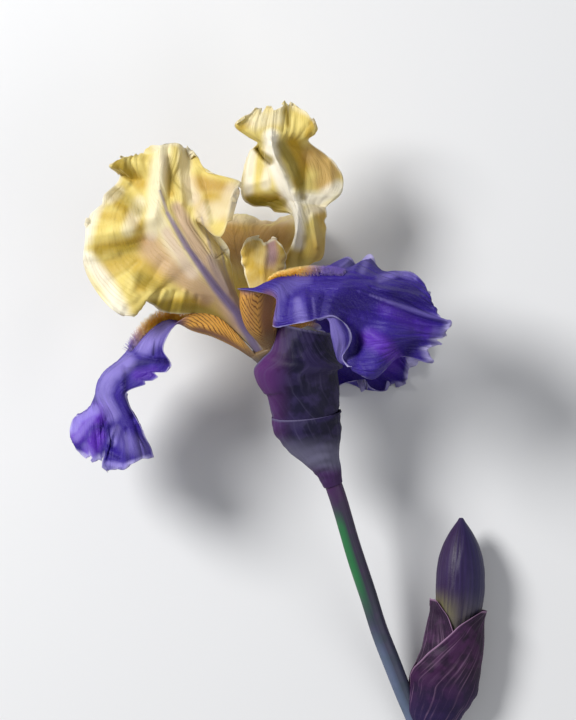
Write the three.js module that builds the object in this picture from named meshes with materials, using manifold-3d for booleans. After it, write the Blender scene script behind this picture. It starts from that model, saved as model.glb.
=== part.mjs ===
// A bearded iris flower on its cut stem, with one side bud, lying on a table.
// Millimetres, +Z up. Petals and stem are written from the heart of the flower, the point where the six
// petals leave the tube: x to the right, y towards the flower's top, z up from the table.
import * as THREE from "three";
import { mergeVertices } from "three/addons/utils/BufferGeometryUtils.js";
import Module from "manifold-3d";

const wasm = await Module();
wasm.setup();

// Where the heart stands over the middle of the part's footprint, and how high it is carried.
const HEART = new THREE.Vector3(-5.4, 41.2, 50);
const PETAL = 0.8;
const BRACT = 0.8;
const BEARD_GAP = 0.6;

// The flower's own axis: the stem leans, so the flower points up and to the left.
const AXIS = new THREE.Vector3(-0.42, 0.9, 0.1).normalize();
const ASIDE = new THREE.Vector3(0.9, 0.42, 0).normalize();
const TOWARDS = new THREE.Vector3().crossVectors(ASIDE, AXIS).normalize();

const COLOURS = {
  standard: [0xe3c860, 0.55],
  fall: [0x4a2f9e, 0.5],
  beard: [0xd9881c, 0.8],
  style: [0xe8cf6e, 0.5],
  anther: [0xf0e6b8, 0.7],
  tube: [0x6d6a72, 0.55],
  bract: [0x5d3a66, 0.6],
  bud: [0x4b2f74, 0.5],
  stem: [0x4f7a52, 0.55],
};

// Names a solid, gives it its colour and hangs it on the flower.
const flower = new THREE.Group();
flower.position.copy(HEART);
function add(name, colour, geometry) {
  const [color, roughness] = COLOURS[colour];
  const mesh = new THREE.Mesh(geometry, new THREE.MeshStandardMaterial({ color, roughness, metalness: 0 }));
  mesh.name = name;
  flower.add(mesh);
}

const clamp01 = (x) => Math.min(1, Math.max(0, x));
const ease = (from, to, x) => THREE.MathUtils.smoothstep(x, from, to);
const vector = ([x, y, z]) => new THREE.Vector3(x, y, z);

// A smooth curve through a few points, read at t from 0 to 1.
function through(points, t) {
  return new THREE.CatmullRomCurve3(points, false, "catmullrom", 0.5).getPoint(t);
}

// A point beside the flower's axis: azimuth 0 is to the right, 90 down to the table and 270 up.
function around(azimuth, radius, height) {
  const a = THREE.MathUtils.degToRad(azimuth);
  return new THREE.Vector3()
    .addScaledVector(AXIS, height)
    .addScaledVector(ASIDE, radius * Math.cos(a))
    .addScaledVector(TOWARDS, -radius * Math.sin(a));
}

// The narrow foot of a petal: a short arc round the throat, from one azimuth to another.
function foot(from, to, radius, height, count = 5) {
  return Array.from({ length: count }, (_, i) => around(from + ((to - from) * i) / (count - 1), radius, height));
}

// What would reach below the table is pressed flat on it, with a soft bend where it lands.
function pressed(point, thickness) {
  const bend = 2.5;
  const lowest = thickness / 2 - HEART.z;
  const over = point.z - lowest + bend;
  if (over <= 0) point.z = lowest;
  else if (over < 2 * bend) point.z = lowest + (over * over) / (4 * bend);
  return point;
}

function normalOf(surface, u, v) {
  const step = 1e-3;
  const du = surface(clamp01(u + step), v).sub(surface(clamp01(u - step), v));
  const dv = surface(u, clamp01(v + step)).sub(surface(u, clamp01(v - step)));
  return dv.cross(du).normalize();
}

// How far a ruffle lifts the petal at u, v. The waves fan out from a focus on the midrib and grow to the rim.
function ruffle({ height, waves, phase = 0, focus = 0.5, from = 0.35, clear = 0.35 }, u, v) {
  const out = 2 * v - 1;
  const up = (u - focus) / (1 - focus);
  const reach = Math.min(1, Math.hypot(Math.max(up, 0), out));
  const fan = Math.atan2(out, up);
  return height * ease(from, 1, reach) * ease(clear - 0.2, clear + 0.15, u) * Math.sin(waves * fan + phase);
}

// A petal's middle surface, lofted through its ribs. A rib runs from one rim to the other.
function petalSurface(ribs, ruffles, thickness) {
  const rows = ribs.map((rib) => rib.map((p) => (Array.isArray(p) ? vector(p) : p)));
  const lofted = (u, v) => through(rows.map((row) => through(row, v)), u);
  return (u, v) => {
    const lift = ruffles.reduce((sum, r) => sum + ruffle(r, u, v), 0);
    const point = lofted(u, v).addScaledVector(normalOf(lofted, u, v), lift);
    return pressed(point, thickness);
  };
}

// A thin closed solid on both sides of a surface, with like triangles on its two faces.
function blade(surface, across, along, low, high) {
  const sheet = new THREE.PlaneGeometry(1, 1, across, along);
  const place = sheet.attributes.position;
  const count = place.count;
  const points = new Float32Array(count * 6);
  for (let i = 0; i < count; i++) {
    const u = place.getY(i) + 0.5;
    const v = place.getX(i) + 0.5;
    const point = surface(u, v);
    const normal = normalOf(surface, u, v);
    point.clone().addScaledVector(normal, high(u, v)).toArray(points, i * 3);
    point.clone().addScaledVector(normal, low(u, v)).toArray(points, (count + i) * 3);
  }
  const front = Array.from(sheet.index.array);
  const index = [...front];
  for (let i = 0; i < front.length; i += 3) {
    index.push(front[i + 1] + count, front[i] + count, front[i + 2] + count);
  }
  const row = across + 1;
  const rim = [];
  for (let i = 0; i < along; i++) rim.push(i * row);
  for (let i = 0; i < across; i++) rim.push(along * row + i);
  for (let i = along; i > 0; i--) rim.push(i * row + across);
  for (let i = across; i > 0; i--) rim.push(i);
  rim.forEach((a, i) => {
    const b = rim[(i + 1) % rim.length];
    index.push(b, a, a + count, b, a + count, b + count);
  });
  const solid = new THREE.BufferGeometry();
  solid.setAttribute("position", new THREE.BufferAttribute(points, 3));
  return solid.setIndex(index);
}

function petal(name, colour, { ribs, ruffles = [], across, along, thickness = PETAL }) {
  const surface = petalSurface(ribs, ruffles, thickness);
  add(name, colour, blade(surface, across, along, () => -thickness / 2, () => thickness / 2));
  return surface;
}

// A round body swept along a curve. radius is a function of the way along, and of the angle round it.
function sweep(line, radius, sides, steps) {
  const curve = new THREE.CatmullRomCurve3(line.map(vector));
  const body = new THREE.CylinderGeometry(1, 1, 1, sides, steps);
  const place = body.attributes.position;
  const up = new THREE.Vector3(0, 0, 1);
  for (let i = 0; i < place.count; i++) {
    const t = clamp01(place.getY(i) + 0.5);
    const angle = Math.atan2(place.getX(i), place.getZ(i));
    const out = Math.hypot(place.getX(i), place.getZ(i)) * radius(t, angle);
    const forward = curve.getTangentAt(t);
    const side = new THREE.Vector3().crossVectors(forward, up).normalize();
    const rise = new THREE.Vector3().crossVectors(side, forward);
    const point = curve.getPointAt(t);
    point.addScaledVector(side, out * Math.sin(angle)).addScaledVector(rise, out * Math.cos(angle));
    place.setXYZ(i, point.x, point.y, point.z);
  }
  return body;
}

// Joins closed geometries into one solid.
function joined(...geometries) {
  const solids = geometries.map((geometry) => {
    geometry.deleteAttribute("normal");
    geometry.deleteAttribute("uv");
    const merged = mergeVertices(geometry, 1e-3);
    const triVerts = new Uint32Array(merged.index.array);
    return new wasm.Manifold(
      new wasm.Mesh({ numProp: 3, vertProperties: merged.attributes.position.array, triVerts }),
    );
  });
  const whole = solids.reduce((a, b) => a.add(b)).getMesh();
  const result = new THREE.BufferGeometry();
  result.setAttribute("position", new THREE.BufferAttribute(Float32Array.from(whole.vertProperties), 3));
  return result.setIndex(new THREE.BufferAttribute(Uint32Array.from(whole.triVerts), 1));
}

// Reads a value between stops [way along, value].
function stops(list, t) {
  const next = Math.max(1, list.findIndex(([at]) => t <= at));
  const [t0, a] = list[next - 1];
  const [t1, b] = list[next];
  return THREE.MathUtils.mapLinear(t, t0, t1, a, b);
}

// Standards: the three upright petals. The left one stands in front and shows its outer face.
const leftStandard = {
  across: 16,
  along: 18,
  ribs: [
    foot(222, 268, 5.3, 0.4),
    [[-14.5, 11, 7], [-12.5, 10.5, 10], [-10, 10.5, 11], [-8, 11, 10.5], [-7, 12, 9]],
    [[-24, 17.5, 11], [-20.5, 19.5, 15], [-17, 20.5, 16], [-14.5, 21.5, 15], [-12.5, 23, 12]],
    [[-43, 14, 15], [-33, 20, 20], [-24.5, 29.5, 21], [-18.5, 31, 18], [-14, 32, 13]],
    [[-57, 12.5, 22], [-43, 26, 22], [-31, 39, 24], [-23.5, 41, 21], [-17, 40, 14]],
    [[-73, 31, 17], [-54, 37, 19], [-37, 48, 25], [-30, 50, 24], [-24.5, 50, 17]],
    [[-73.5, 45, 20], [-57, 49, 26], [-40, 54.5, 25], [-29, 56, 22], [-17, 43.5, 30]],
    [[-69.5, 59, 17], [-56, 58, 18], [-42, 61.5, 24], [-28, 61, 21], [-11.5, 60, 28]],
    [[-60, 69, 12], [-51, 67.5, 17], [-43.5, 68, 24], [-33, 67, 19], [-11, 66.5, 25]],
    [[-63, 73, 24], [-53, 75, 21], [-42.5, 76, 23], [-33, 76, 18], [-22, 71, 21]],
    [[-59, 77, 22], [-50, 80.5, 16], [-40, 84, 21], [-31, 83.5, 15], [-28.5, 76, 19]],
  ],
  ruffles: [{ height: 1.6, waves: 7, focus: 0.45, from: 0.55 }],
};

// The right one is twisted: edge-on at its claw, pinched to a channel, then flaring twice.
const rightStandard = {
  across: 12,
  along: 22,
  ribs: [
    foot(-16, 26, 5.3, 0.3),
    [[6, 14, 4], [8, 12.5, 2.5], [9, 12.5, 0], [8.5, 13.5, -3], [7, 15, -5]],
    [[4, 28, 4], [8, 27, 3], [12, 27, -1], [14, 29, -6], [14, 32, -10]],
    [[8.5, 37, 3], [11, 39, 3.5], [14, 40, 0], [22, 38, -3], [25, 36, -9]],
    [[12, 46, 3], [12.5, 47.5, 4], [14, 48, 3], [20, 48, 0], [26, 46, -4]],
    [[10.5, 54, 1], [11, 55, 3], [12.5, 55.5, 4], [16, 54, 3], [20, 53, 2]],
    [[2, 55, -3], [6.5, 60, 2], [10.5, 61, 5], [16, 60, 3], [24, 57.5, -2]],
    [[-9, 60, -1], [-1, 64, 4], [8.5, 67, 7], [18, 65.5, 0], [31, 64, -4]],
    [[-9, 73, 2], [-2, 73, 4], [6, 73, 8], [16, 73, -1], [31, 71, -7]],
    [[-6, 80, -1], [-1.5, 79, 3], [3.5, 78.5, 7], [13, 79, -1], [25, 78.5, -5]],
    [[-5, 83, 4], [-1.5, 83, 6], [2.5, 83, 8], [9, 83.5, 4], [18, 84, 1]],
    [[-13, 89, 9], [-5, 88, 9], [3, 88.5, 10], [11, 88, 9], [20.5, 88, 8]],
    [[-8, 94, 12], [-2, 97, 9], [4, 98, 13], [11, 98.5, 8], [19, 93.5, 12]],
  ],
  ruffles: [{ height: 0.9, waves: 9, focus: 0.6, from: 0.6, clear: 0.5 }],
};

// The back one leans away from the other two until its rim lies on the table.
const backStandard = {
  across: 10,
  along: 12,
  ribs: [
    foot(146, 104, 5.4, 0.4),
    [[-9.5, 12, -5], [-9, 12, -7], [-7.5, 12, -8.5], [-5.5, 12.5, -9.3], [-4, 13, -9.5]],
    [[-22, 24, -9], [-17, 27, -14], [-9.5, 29, -17], [-2, 29, -18], [4, 30, -16]],
    [[-33, 36, -16], [-25, 39, -26], [-13, 41, -31], [-1, 42, -30], [11, 42, -22]],
    [[-39, 48, -29], [-30, 50, -41], [-14, 50, -44], [2, 50, -41], [16, 50, -31]],
    [[-37, 58, -41], [-29, 57, -50], [-12, 54, -51], [1, 54, -49], [14, 55, -39]],
  ],
  ruffles: [{ height: 2.8, waves: 8, phase: 1, focus: 0.45, from: 0.45 }],
};

petal("standard_left", "standard", leftStandard);
petal("standard_right", "standard", rightStandard);
petal("standard_back", "standard", backStandard);

// Falls: the three hanging petals, each a channelled haft, a crest and a broad blade. Ribs run from the
// rim nearer the top of the heap to the one nearer the table.
const leftFall = {
  across: 12,
  along: 20,
  ribs: [
    foot(208, 162, 7.6, -0.3),
    [[-12, 5, 6], [-12, 1, 4.5], [-12.5, -0.5, 0], [-12.5, 1, -4.5], [-12.5, 6, -6]],
    [[-20, 12, 8], [-21, 6, 7.5], [-22, 4, 0], [-22, 6, -7.5], [-21, 13, -8]],
    [[-30, 13, 10], [-30, 8, 8], [-30.5, 6.5, 0], [-31, 9, -8], [-31, 14, -10]],
    [[-38.5, 7, 11], [-38.5, 9, 6.5], [-39, 10.5, 0], [-40, 10, -7], [-41, 8, -11]],
    [[-42, -1, 13], [-45, 3.5, 9], [-48, 6, 1], [-51, 4, -9], [-53, -1, -16]],
    [[-39, -8, 18], [-49, -6, 12], [-57, -4, 2], [-60, -6, -9], [-62, -12, -20]],
    [[-46, -15, 18], [-57, -12, 13], [-66, -11.5, 2], [-68, -15, -9], [-68, -24, -20]],
    [[-57, -20, 13], [-63, -20, 9], [-69, -19, 2], [-71, -24, -8], [-74, -32, -17]],
    [[-52, -31, 12], [-58, -30, 11], [-65, -28, 3], [-71, -29, -5], [-79, -31, -12]],
    [[-46, -42, 9], [-55, -40, 12], [-63, -38, -2], [-70, -37, 0], [-80, -37, -7]],
    [[-48, -47, 7], [-57, -50, 11], [-64, -48, 5], [-69, -48, 0], [-77, -43, -5]],
  ],
  ruffles: [{ height: 1.4, waves: 8, focus: 0.6, from: 0.6, clear: 0.5 }],
};

// The right fall comes forward over its haft, then sweeps to the right.
const rightFall = {
  across: 14,
  along: 24,
  ribs: [
    foot(282, 328, 7.6, -0.1, 6),
    [[-7.5, 7, 10], [-6.5, 5.5, 12.5], [-3.5, 5, 13.5], [0, 5.5, 12.5], [3, 7, 10], [4.5, 9, 7]],
    [[-10.5, 15, 15], [-9, 13, 18.5], [-5.5, 12.5, 20.5], [-1, 13, 19.5], [3.5, 14.5, 16], [6, 17, 10]],
    [[-10.5, 22, 20], [-9, 20, 24], [-5, 20, 26.5], [0, 22, 26], [6, 24, 21], [9, 26, 14]],
    [[-10.5, 23, 27], [-4, 23.5, 30.5], [0, 25.5, 31], [4, 27.5, 28], [8, 29, 20], [12, 30, 12]],
    [[4, 19, 37], [4.5, 21, 37], [6, 25, 35], [10, 29.5, 29], [14, 31, 20], [17, 31, 10]],
    [[3, 8, 41], [5.5, 12, 41], [10, 20, 39], [17, 30.5, 30], [20, 33, 20], [24, 33, 8]],
    [[14, 9.5, 45], [15.5, 14, 44.5], [19, 21, 41], [25, 30.5, 31], [29, 34, 20], [33, 36.5, 6]],
    [[28, 11.5, 49], [25.5, 11, 47], [29, 20, 44], [35, 28, 33], [38, 33, 22], [43, 37, 8]],
    [[35.5, 4.5, 45], [27, 3, 43], [36, 12, 42], [43, 24, 35], [47, 29, 25], [47, 31, 12]],
    [[34, -6, 38], [32.5, -8, 35.5], [39, 3, 39], [49, 20, 37], [53, 27, 28], [53, 30, 17]],
    [[42, -13, 40], [44, -8, 44], [48, 3, 42], [55, 17, 36], [59, 25, 28], [60, 30.5, 20]],
    [[53, -9, 33], [56, -4, 35], [61, 4, 36], [65, 12.5, 33], [66, 19, 29], [66, 27, 23]],
    [[66, -7, 31], [69, -2, 32], [72, 4, 33], [74, 10, 32], [70, 13, 30], [67, 17, 28]],
  ],
  ruffles: [{ height: 1.2, waves: 9, focus: 0.6, from: 0.6, clear: 0.5 }],
};

// The back fall carries the flower: its blade is pressed on the table behind the tube.
const backFall = {
  across: 10,
  along: 14,
  ribs: [
    foot(42, 88, 7.6, 0.5),
    [[9, 7, -6.5], [9, 6.5, -10], [6, 7, -13], [2, 8.5, -13.5], [0, 10, -11.5]],
    [[14.5, 8.5, -12], [14.5, 8, -19], [10.5, 11, -23], [4.5, 15, -23], [1, 19, -18]],
    [[21, 8, -22], [20, 11, -29], [16, 15, -33], [9, 20, -33], [3, 24, -28]],
    [[24, 0, -38], [26, 8, -41], [25, 15, -42], [20, 23, -42], [14, 29, -39]],
    [[20, -14, -46], [30, -2, -49], [35, 8, -49.5], [36, 20, -48], [34, 32, -42]],
    [[29, -19, -42], [38, -14, -49], [46, -6, -49.5], [52, 6, -48], [53, 20, -42]],
    [[41, -16, -40], [50, -16.5, -46], [57, -15, -47], [61, -9, -45], [61, 4, -40]],
  ],
  ruffles: [{ height: 2.6, waves: 9, focus: 0.55, from: 0.5, clear: 0.45 }],
};

// A beard: a low bank of stiff hairs along the fall's midline, raised from it by a rule.
function beard(name, fall, [start, end], middle, side) {
  const rows = 18;
  const hairs = 4;
  const halfWidth = 0.075;
  const surface = (u, v) => {
    const s = start + (end - start) * u;
    return fall(s, middle + (v - 0.5) * 2 * halfWidth);
  };
  const bank = (u, v) => {
    const row = Math.round(u * rows);
    const hair = Math.round(v * hairs);
    const body = Math.sin(Math.PI * clamp01(0.06 + 0.9 * u)) ** 0.5 * Math.sin(Math.PI * clamp01(0.12 + 0.76 * v));
    return 0.9 + body * ((row + hair) % 2 ? 3.4 : 1.1);
  };
  const seat = PETAL / 2 + BEARD_GAP;
  const inner = (u, v) => side * seat;
  const outer = (u, v) => side * (seat + bank(u, v));
  add(name, "beard", blade(surface, hairs, rows, side > 0 ? inner : outer, side > 0 ? outer : inner));
}

beard("beard_left", petal("fall_left", "fall", leftFall), [0.26, 0.52], 0.5, 1);
beard("beard_right", petal("fall_right", "fall", rightFall), [0.3, 0.58], 0.62, -1);
beard("beard_back", petal("fall_back", "fall", backFall), [0.38, 0.66], 0.5, -1);

// The style: a short column in the throat, with three arms that arch over the hafts and end in crests.
function styleArm(line, halves, spread, lean) {
  const ribs = line.map((at, i) => {
    const last = i === line.length - 1;
    const rib = (share, rise) =>
      vector(at)
        .addScaledVector(vector(spread), halves[i] * share)
        .addScaledVector(vector(lean), -halves[i] * rise);
    return [rib(-1, 0.35), rib(-0.55, last ? -0.2 : 0.1), rib(0, last ? 0.5 : 0), rib(0.55, last ? -0.2 : 0.1), rib(1, 0.35)];
  });
  return blade(petalSurface(ribs, [], 1), 6, 10, () => -0.45, () => 0.45);
}

const STYLE_TOP = [-1.5, 3.5, 0.4];
add(
  "style",
  "style",
  joined(
    sweep([[0.1, -0.2, 0], [-0.8, 1.8, 0.2], [-2, 5, 0.5]], (t) => 2.3 - 0.5 * t, 10, 3),
    styleArm([STYLE_TOP, [-9, 8, 0], [-18, 14, 0], [-26, 18, 0], [-33, 23, 0]], [1.6, 3.2, 5, 6, 6.5], [0, 0, 1], [-0.4, 0.9, 0]),
    styleArm(
      [STYLE_TOP, [-1.5, 12, 5], [-1, 22, 9], [-1, 31, 12], [-1, 38, 13], [-1.5, 44, 11]],
      [1.6, 3.4, 5.5, 7.5, 8.8, 8.5], [-1, 0.1, 0.1], [0, 0.3, 0.9],
    ),
    styleArm([STYLE_TOP, [2, 10, -7], [6, 17, -14], [10, 24, -20], [13, 32, -23]], [1.6, 2.6, 4, 5.5, 6], [0.7, -0.5, 0.4], [0.4, 0.8, -0.2]),
  ),
);

// Stamens: one under each style arm, a thread that ends in a long anther.
function stamen(name, line) {
  const thickness = [[0, 0.7], [0.5, 0.6], [0.56, 1.2], [0.92, 1.1], [1, 0.5]];
  add(name, "anther", sweep(line, (t) => stops(thickness, t), 6, 10));
}
stamen("stamen_left", [[-4.2, -1.9, 0], [-8.5, 2.5, 0], [-14, 6.5, 0], [-21, 10, 0], [-27, 12.5, 0]]);
stamen("stamen_right", [[2.5, 0.8, 3.7], [1.5, 5, 7.5], [0.5, 10, 12], [0, 16.5, 16.5], [0.5, 23, 20.5]]);
stamen("stamen_back", [[1.2, 1.5, -3.3], [2.8, 6, -7.5], [5.2, 11, -12], [8.5, 16, -17.5], [11, 21, -22.6]]);

// Ovary and tube: the green ovary inside the bracts, its neck, and the funnel that the petals stand on.
const TUBE_LINE = [[24.18, -47.69, -9.75], [16.5, -32, -6], [8.5, -16, -3], [0.38, -0.81, -0.09]];
const TUBE_GIRTH = [[0, 2.6], [0.15, 4.6], [0.42, 4.4], [0.6, 3.6], [0.8, 5.3], [0.91, 6.8], [1, 8.6]];
add("ovary_tube", "tube", sweep(TUBE_LINE, (t) => stops(TUBE_GIRTH, t), 16, 12));

// Bracts: papery leaves rolled round the tube and the side bud. Each arc lies round a point of the line that
// the bract wraps: [way along, half width, half height, from angle, to angle], with 90 facing up.
function bract(name, line, arcs, across = 16, along = 9) {
  const curve = new THREE.CatmullRomCurve3(line.map(vector));
  const up = new THREE.Vector3(0, 0, 1);
  const first = arcs[0][0];
  const last = arcs[arcs.length - 1][0];
  const ribs = Array.from({ length: 17 }, (_, row) => {
    const t = first + ((last - first) * row) / 16;
    const [wide, tall, from, to] = [1, 2, 3, 4].map((k) => stops(arcs.map((arc) => [arc[0], arc[k]]), t));
    const forward = curve.getTangent(t);
    const side = new THREE.Vector3().crossVectors(forward, up).normalize();
    const rise = new THREE.Vector3().crossVectors(side, forward);
    return Array.from({ length: 9 }, (_, i) => {
      const a = THREE.MathUtils.degToRad(from + ((to - from) * i) / 8);
      return curve
        .getPoint(t)
        .addScaledVector(side, wide * Math.cos(a))
        .addScaledVector(rise, tall * Math.sin(a));
    });
  });
  petal(name, "bract", { ribs, across, along, thickness: BRACT });
}

const BRACT_LINE = [
  [27.6, -57, -11.7],
  [24.5, -48.3, -9.9],
  [19.8, -38, -7.2],
  [16.3, -28, -5],
  [15, -17, -3],
  [13.4, -10, -2],
  [14, -2, -1],
  [16, 8, 0],
];
bract("bract_outer", [...BRACT_LINE.slice(0, 4), [19, -17, -3]], [
  [0, 4.5, 4.5, -80, 255],
  [0.25, 6.8, 6, -78, 250],
  [0.5, 11.8, 9, -66, 240],
  [0.75, 15.5, 11.6, -50, 225],
]);
bract("bract_inner", BRACT_LINE, [
  [1 / 7, 5.1, 4.6, -250, 95],
  [2 / 7, 9.4, 7, -245, 100],
  [3 / 7, 13.3, 9.6, -228, 122],
  [4 / 7, 15.3, 11, -203, 148],
  [5 / 7, 18.5, 14.2, -186, 138],
  [5.5 / 7, 17.6, 15, -146, 130],
  [6 / 7, 14.5, 13, -80, 126],
  [1, 11.5, 11.5, -20, 110],
], 16, 14);

// Stem: nearly straight, a little thicker downwards, with the short branch that carries the bud fused to it.
const STEM_LINE = [
  [24.5, -48.3, -9.9],
  [29.4, -61.9, -12.7],
  [36.2, -84.8, -19.5],
  [42.6, -104.3, -26],
  [46.8, -117.6, -30.5],
  [52.4, -132.1, -35.8],
  [57.5, -145.1, -40.4],
  [62.2, -156, -43.3],
  [66, -167, -45.2],
  [70.6, -180, -46.1],
];
const STEM_TOP = 3.5;
const STEM_FOOT = 3.8;
add(
  "stem",
  "stem",
  joined(
    sweep(STEM_LINE, (t) => STEM_TOP + (STEM_FOOT - STEM_TOP) * t, 12, 18),
    sweep([[64, -165, -44.6], [67.5, -162.5, -43.8], [70.8, -158.6, -42.9]], (t) => 3.6 - t, 12, 4),
  ),
);

// Side bud: the petals of the next flower, rolled in a spiral, with its two bracts.
const BUD_LINE = [
  [71.5, -156.4, -42.3],
  [73, -148, -40.5],
  [75.5, -136, -38.8],
  [78.5, -120, -37.6],
  [80.6, -101.5, -37.2],
  [81, -88, -37],
  [81, -71.4, -36],
];
const BUD_GIRTH = [
  [0, 2.2],
  [0.12, 4],
  [0.25, 5.4],
  [0.4, 7],
  [0.5, 8.6],
  [0.58, 9.8],
  [0.66, 10.3],
  [0.74, 10.2],
  [0.81, 9.3],
  [0.87, 7.6],
  [0.93, 4.9],
  [0.97, 2.5],
  [1, 0.6],
];
add("bud", "bud", sweep(BUD_LINE, (t, a) => stops(BUD_GIRTH, t) * (1 + 0.035 * Math.cos(3 * a - 5 * t)), 16, 18));

const BUD_BRACT_LINE = [
  [71.3, -157.6, -42.5],
  [73.2, -149, -40.7],
  [75.3, -140, -39.2],
  [77, -128, -38.2],
  [79, -113, -37.5],
  [80.5, -102, -37.2],
];
bract("bud_bract_outer", BUD_BRACT_LINE, [
  [0, 4.6, 4.6, -175, 165],
  [0.2, 8.1, 7.6, -172, 165],
  [0.4, 13.1, 9.7, -166, 164],
  [0.6, 13.2, 10.7, -150, 141],
  [0.8, 11.6, 11.5, -115, 75],
  [0.88, 12.1, 11.9, -90, 30],
]);
bract("bud_bract_inner", BUD_BRACT_LINE, [
  [0.04, 3.4, 3.4, 30, 370],
  [0.2, 6.7, 6.2, 30, 362],
  [0.4, 11.6, 8.3, 40, 345],
  [0.6, 11.5, 9, 65, 290],
  [0.8, 10.2, 10.1, 105, 245],
  [0.97, 11.9, 11.7, 140, 175],
]);

export default flower;
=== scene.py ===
# A bearded iris on its cut stem, with one side bud, lying on a pale table.
import math

import bmesh
import bpy
import numpy as np
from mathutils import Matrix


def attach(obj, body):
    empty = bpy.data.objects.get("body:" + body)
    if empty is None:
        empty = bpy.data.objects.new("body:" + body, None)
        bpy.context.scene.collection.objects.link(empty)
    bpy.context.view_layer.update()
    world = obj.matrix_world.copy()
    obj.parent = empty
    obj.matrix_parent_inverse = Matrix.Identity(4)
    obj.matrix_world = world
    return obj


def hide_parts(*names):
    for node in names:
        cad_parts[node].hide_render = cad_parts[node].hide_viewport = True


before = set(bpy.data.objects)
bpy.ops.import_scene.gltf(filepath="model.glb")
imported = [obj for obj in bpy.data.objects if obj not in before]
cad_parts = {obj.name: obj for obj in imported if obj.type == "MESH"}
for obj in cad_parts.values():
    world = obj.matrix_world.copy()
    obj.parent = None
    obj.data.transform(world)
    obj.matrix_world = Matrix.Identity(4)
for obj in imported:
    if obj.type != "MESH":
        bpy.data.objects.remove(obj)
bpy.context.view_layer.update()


# Stem: a round, solid stalk, dusky purple with a green streak and a waxy blue bloom, cut straight across at
# its foot. A short branch grows out of it and carries the side bud. It is one grown piece.
# Lines, ribs and radii are in millimetres from the heart of the flower, which lies at HEART in metres.
HEART = np.array((-0.0054, 0.0412, 0.050))
MM = 0.001
LINE_POINTS = 401
WELD_DISTANCE = 1e-6

STEM_LINE = [
    (24.5, -48.3, -9.9),
    (29.4, -61.9, -12.7),
    (36.2, -84.8, -19.5),
    (42.6, -104.3, -26),
    (46.8, -117.6, -30.5),
    (52.4, -132.1, -35.8),
    (57.5, -145.1, -40.4),
    (62.2, -156, -43.3),
    (66, -167, -45.2),
    (70.6, -180, -46.1),
]
BRANCH_LINE = [(64, -165, -44.6), (67.5, -162.5, -43.8), (70.8, -158.6, -42.9)]
STALK_RADIUS = 3.5
BRANCH_RADIUS = 3.6
STALK_STEPS = (36, 150)
BRANCH_STEPS = (28, 30)
STEM_DUSK = "33223f"
STEM_PALE_DUSK = "40344e"
STEM_TOP_PURPLE = "42234e"
STEM_SLATE = "454a5e"
STEM_GREEN = "286f40"
STEM_MOTTLE = "32503e"
STEM_BLOOM = "64708c"
STEM_CUT = "a9bf8a"


def ease(low, high, x):
    t = np.clip((x - low) / (high - low), 0, 1)
    return t * t * (3 - 2 * t)


def through(points, t, even=True):
    """Reads a smooth curve through points at t, from 0 to 1. With even off, far points take longer steps."""
    points = np.asarray(points, float)
    points = np.broadcast_to(points, t.shape + points.shape[-2:])
    count = points.shape[-2]
    before = 2 * points[..., :1, :] - points[..., 1:2, :]
    after = 2 * points[..., -1:, :] - points[..., -2:-1, :]
    line = np.concatenate([before, points, after], axis=-2)
    step = np.clip((t * (count - 1)).astype(int), 0, count - 2)
    w = (t * (count - 1) - step)[..., None]
    a, b, c, d = [
        np.take_along_axis(line, (step + k)[..., None, None], axis=-2)[..., 0, :] for k in range(4)
    ]
    if even:
        ab = bc = cd = np.ones_like(w)
    else:
        ab, bc, cd = [
            np.linalg.norm(q - p, axis=-1, keepdims=True) ** 0.5 for p, q in ((a, b), (b, c), (c, d))
        ]
    leave = bc * ((b - a) / ab - (c - a) / (ab + bc) + (c - b) / bc)
    reach = bc * ((c - b) / bc - (d - b) / (bc + cd) + (d - c) / cd)
    bend = -3 * b + 3 * c - 2 * leave - reach
    twist = 2 * b - 2 * c + leave + reach
    return b + leave * w + bend * w**2 + twist * w**3


def swept(line, radius):
    """The skin of a round body along a line: u runs along it, v once round it from its upper side."""
    fine = np.linspace(0, 1, LINE_POINTS)
    path = through(line, fine, even=False)
    steps = np.linalg.norm(np.diff(path, axis=0), axis=1)
    way = np.concatenate([[0], np.cumsum(steps)]) / steps.sum()
    heading = np.gradient(path, axis=0)

    def place(u, v):
        at = np.stack([np.interp(u, way, path[:, k]) for k in range(3)], axis=-1)
        forward = np.stack([np.interp(u, way, heading[:, k]) for k in range(3)], axis=-1)
        forward /= np.linalg.norm(forward, axis=-1, keepdims=True)
        side = np.cross(forward, (0, 0, 1))
        side /= np.linalg.norm(side, axis=-1, keepdims=True)
        rise = np.cross(side, forward)
        angle = 2 * math.pi * v
        out = radius(u, angle)[..., None]
        return at + side * out * np.sin(angle)[..., None] + rise * out * np.cos(angle)[..., None]

    return place


def sheet(name, patches, closed=False):
    """Makes an object of one or more grids. A patch is its steps across and along, and where u, v lies. A
    closed one is welded where its edges meet."""
    shape = bmesh.new()
    shape.loops.layers.uv.new("surface")
    for across, along, place in patches:
        fresh = bmesh.ops.create_grid(
            shape, x_segments=across, y_segments=along, size=0.5, calc_uvs=True
        )["verts"]
        flat = np.array([vert.co for vert in fresh])
        u = np.clip(flat[:, 1] + 0.5, 0, 1)
        v = np.clip(flat[:, 0] + 0.5, 0, 1)
        for vert, point in zip(fresh, HEART + place(u, v) * MM):
            vert.co = point
    if closed:
        bmesh.ops.remove_doubles(shape, verts=shape.verts, dist=WELD_DISTANCE)
        bmesh.ops.recalc_face_normals(shape, faces=shape.faces)
    mesh = bpy.data.meshes.new(name)
    shape.to_mesh(mesh)
    shape.free()
    mesh.shade_smooth()
    piece = bpy.data.objects.new(name, mesh)
    bpy.context.collection.objects.link(piece)
    return piece


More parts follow.
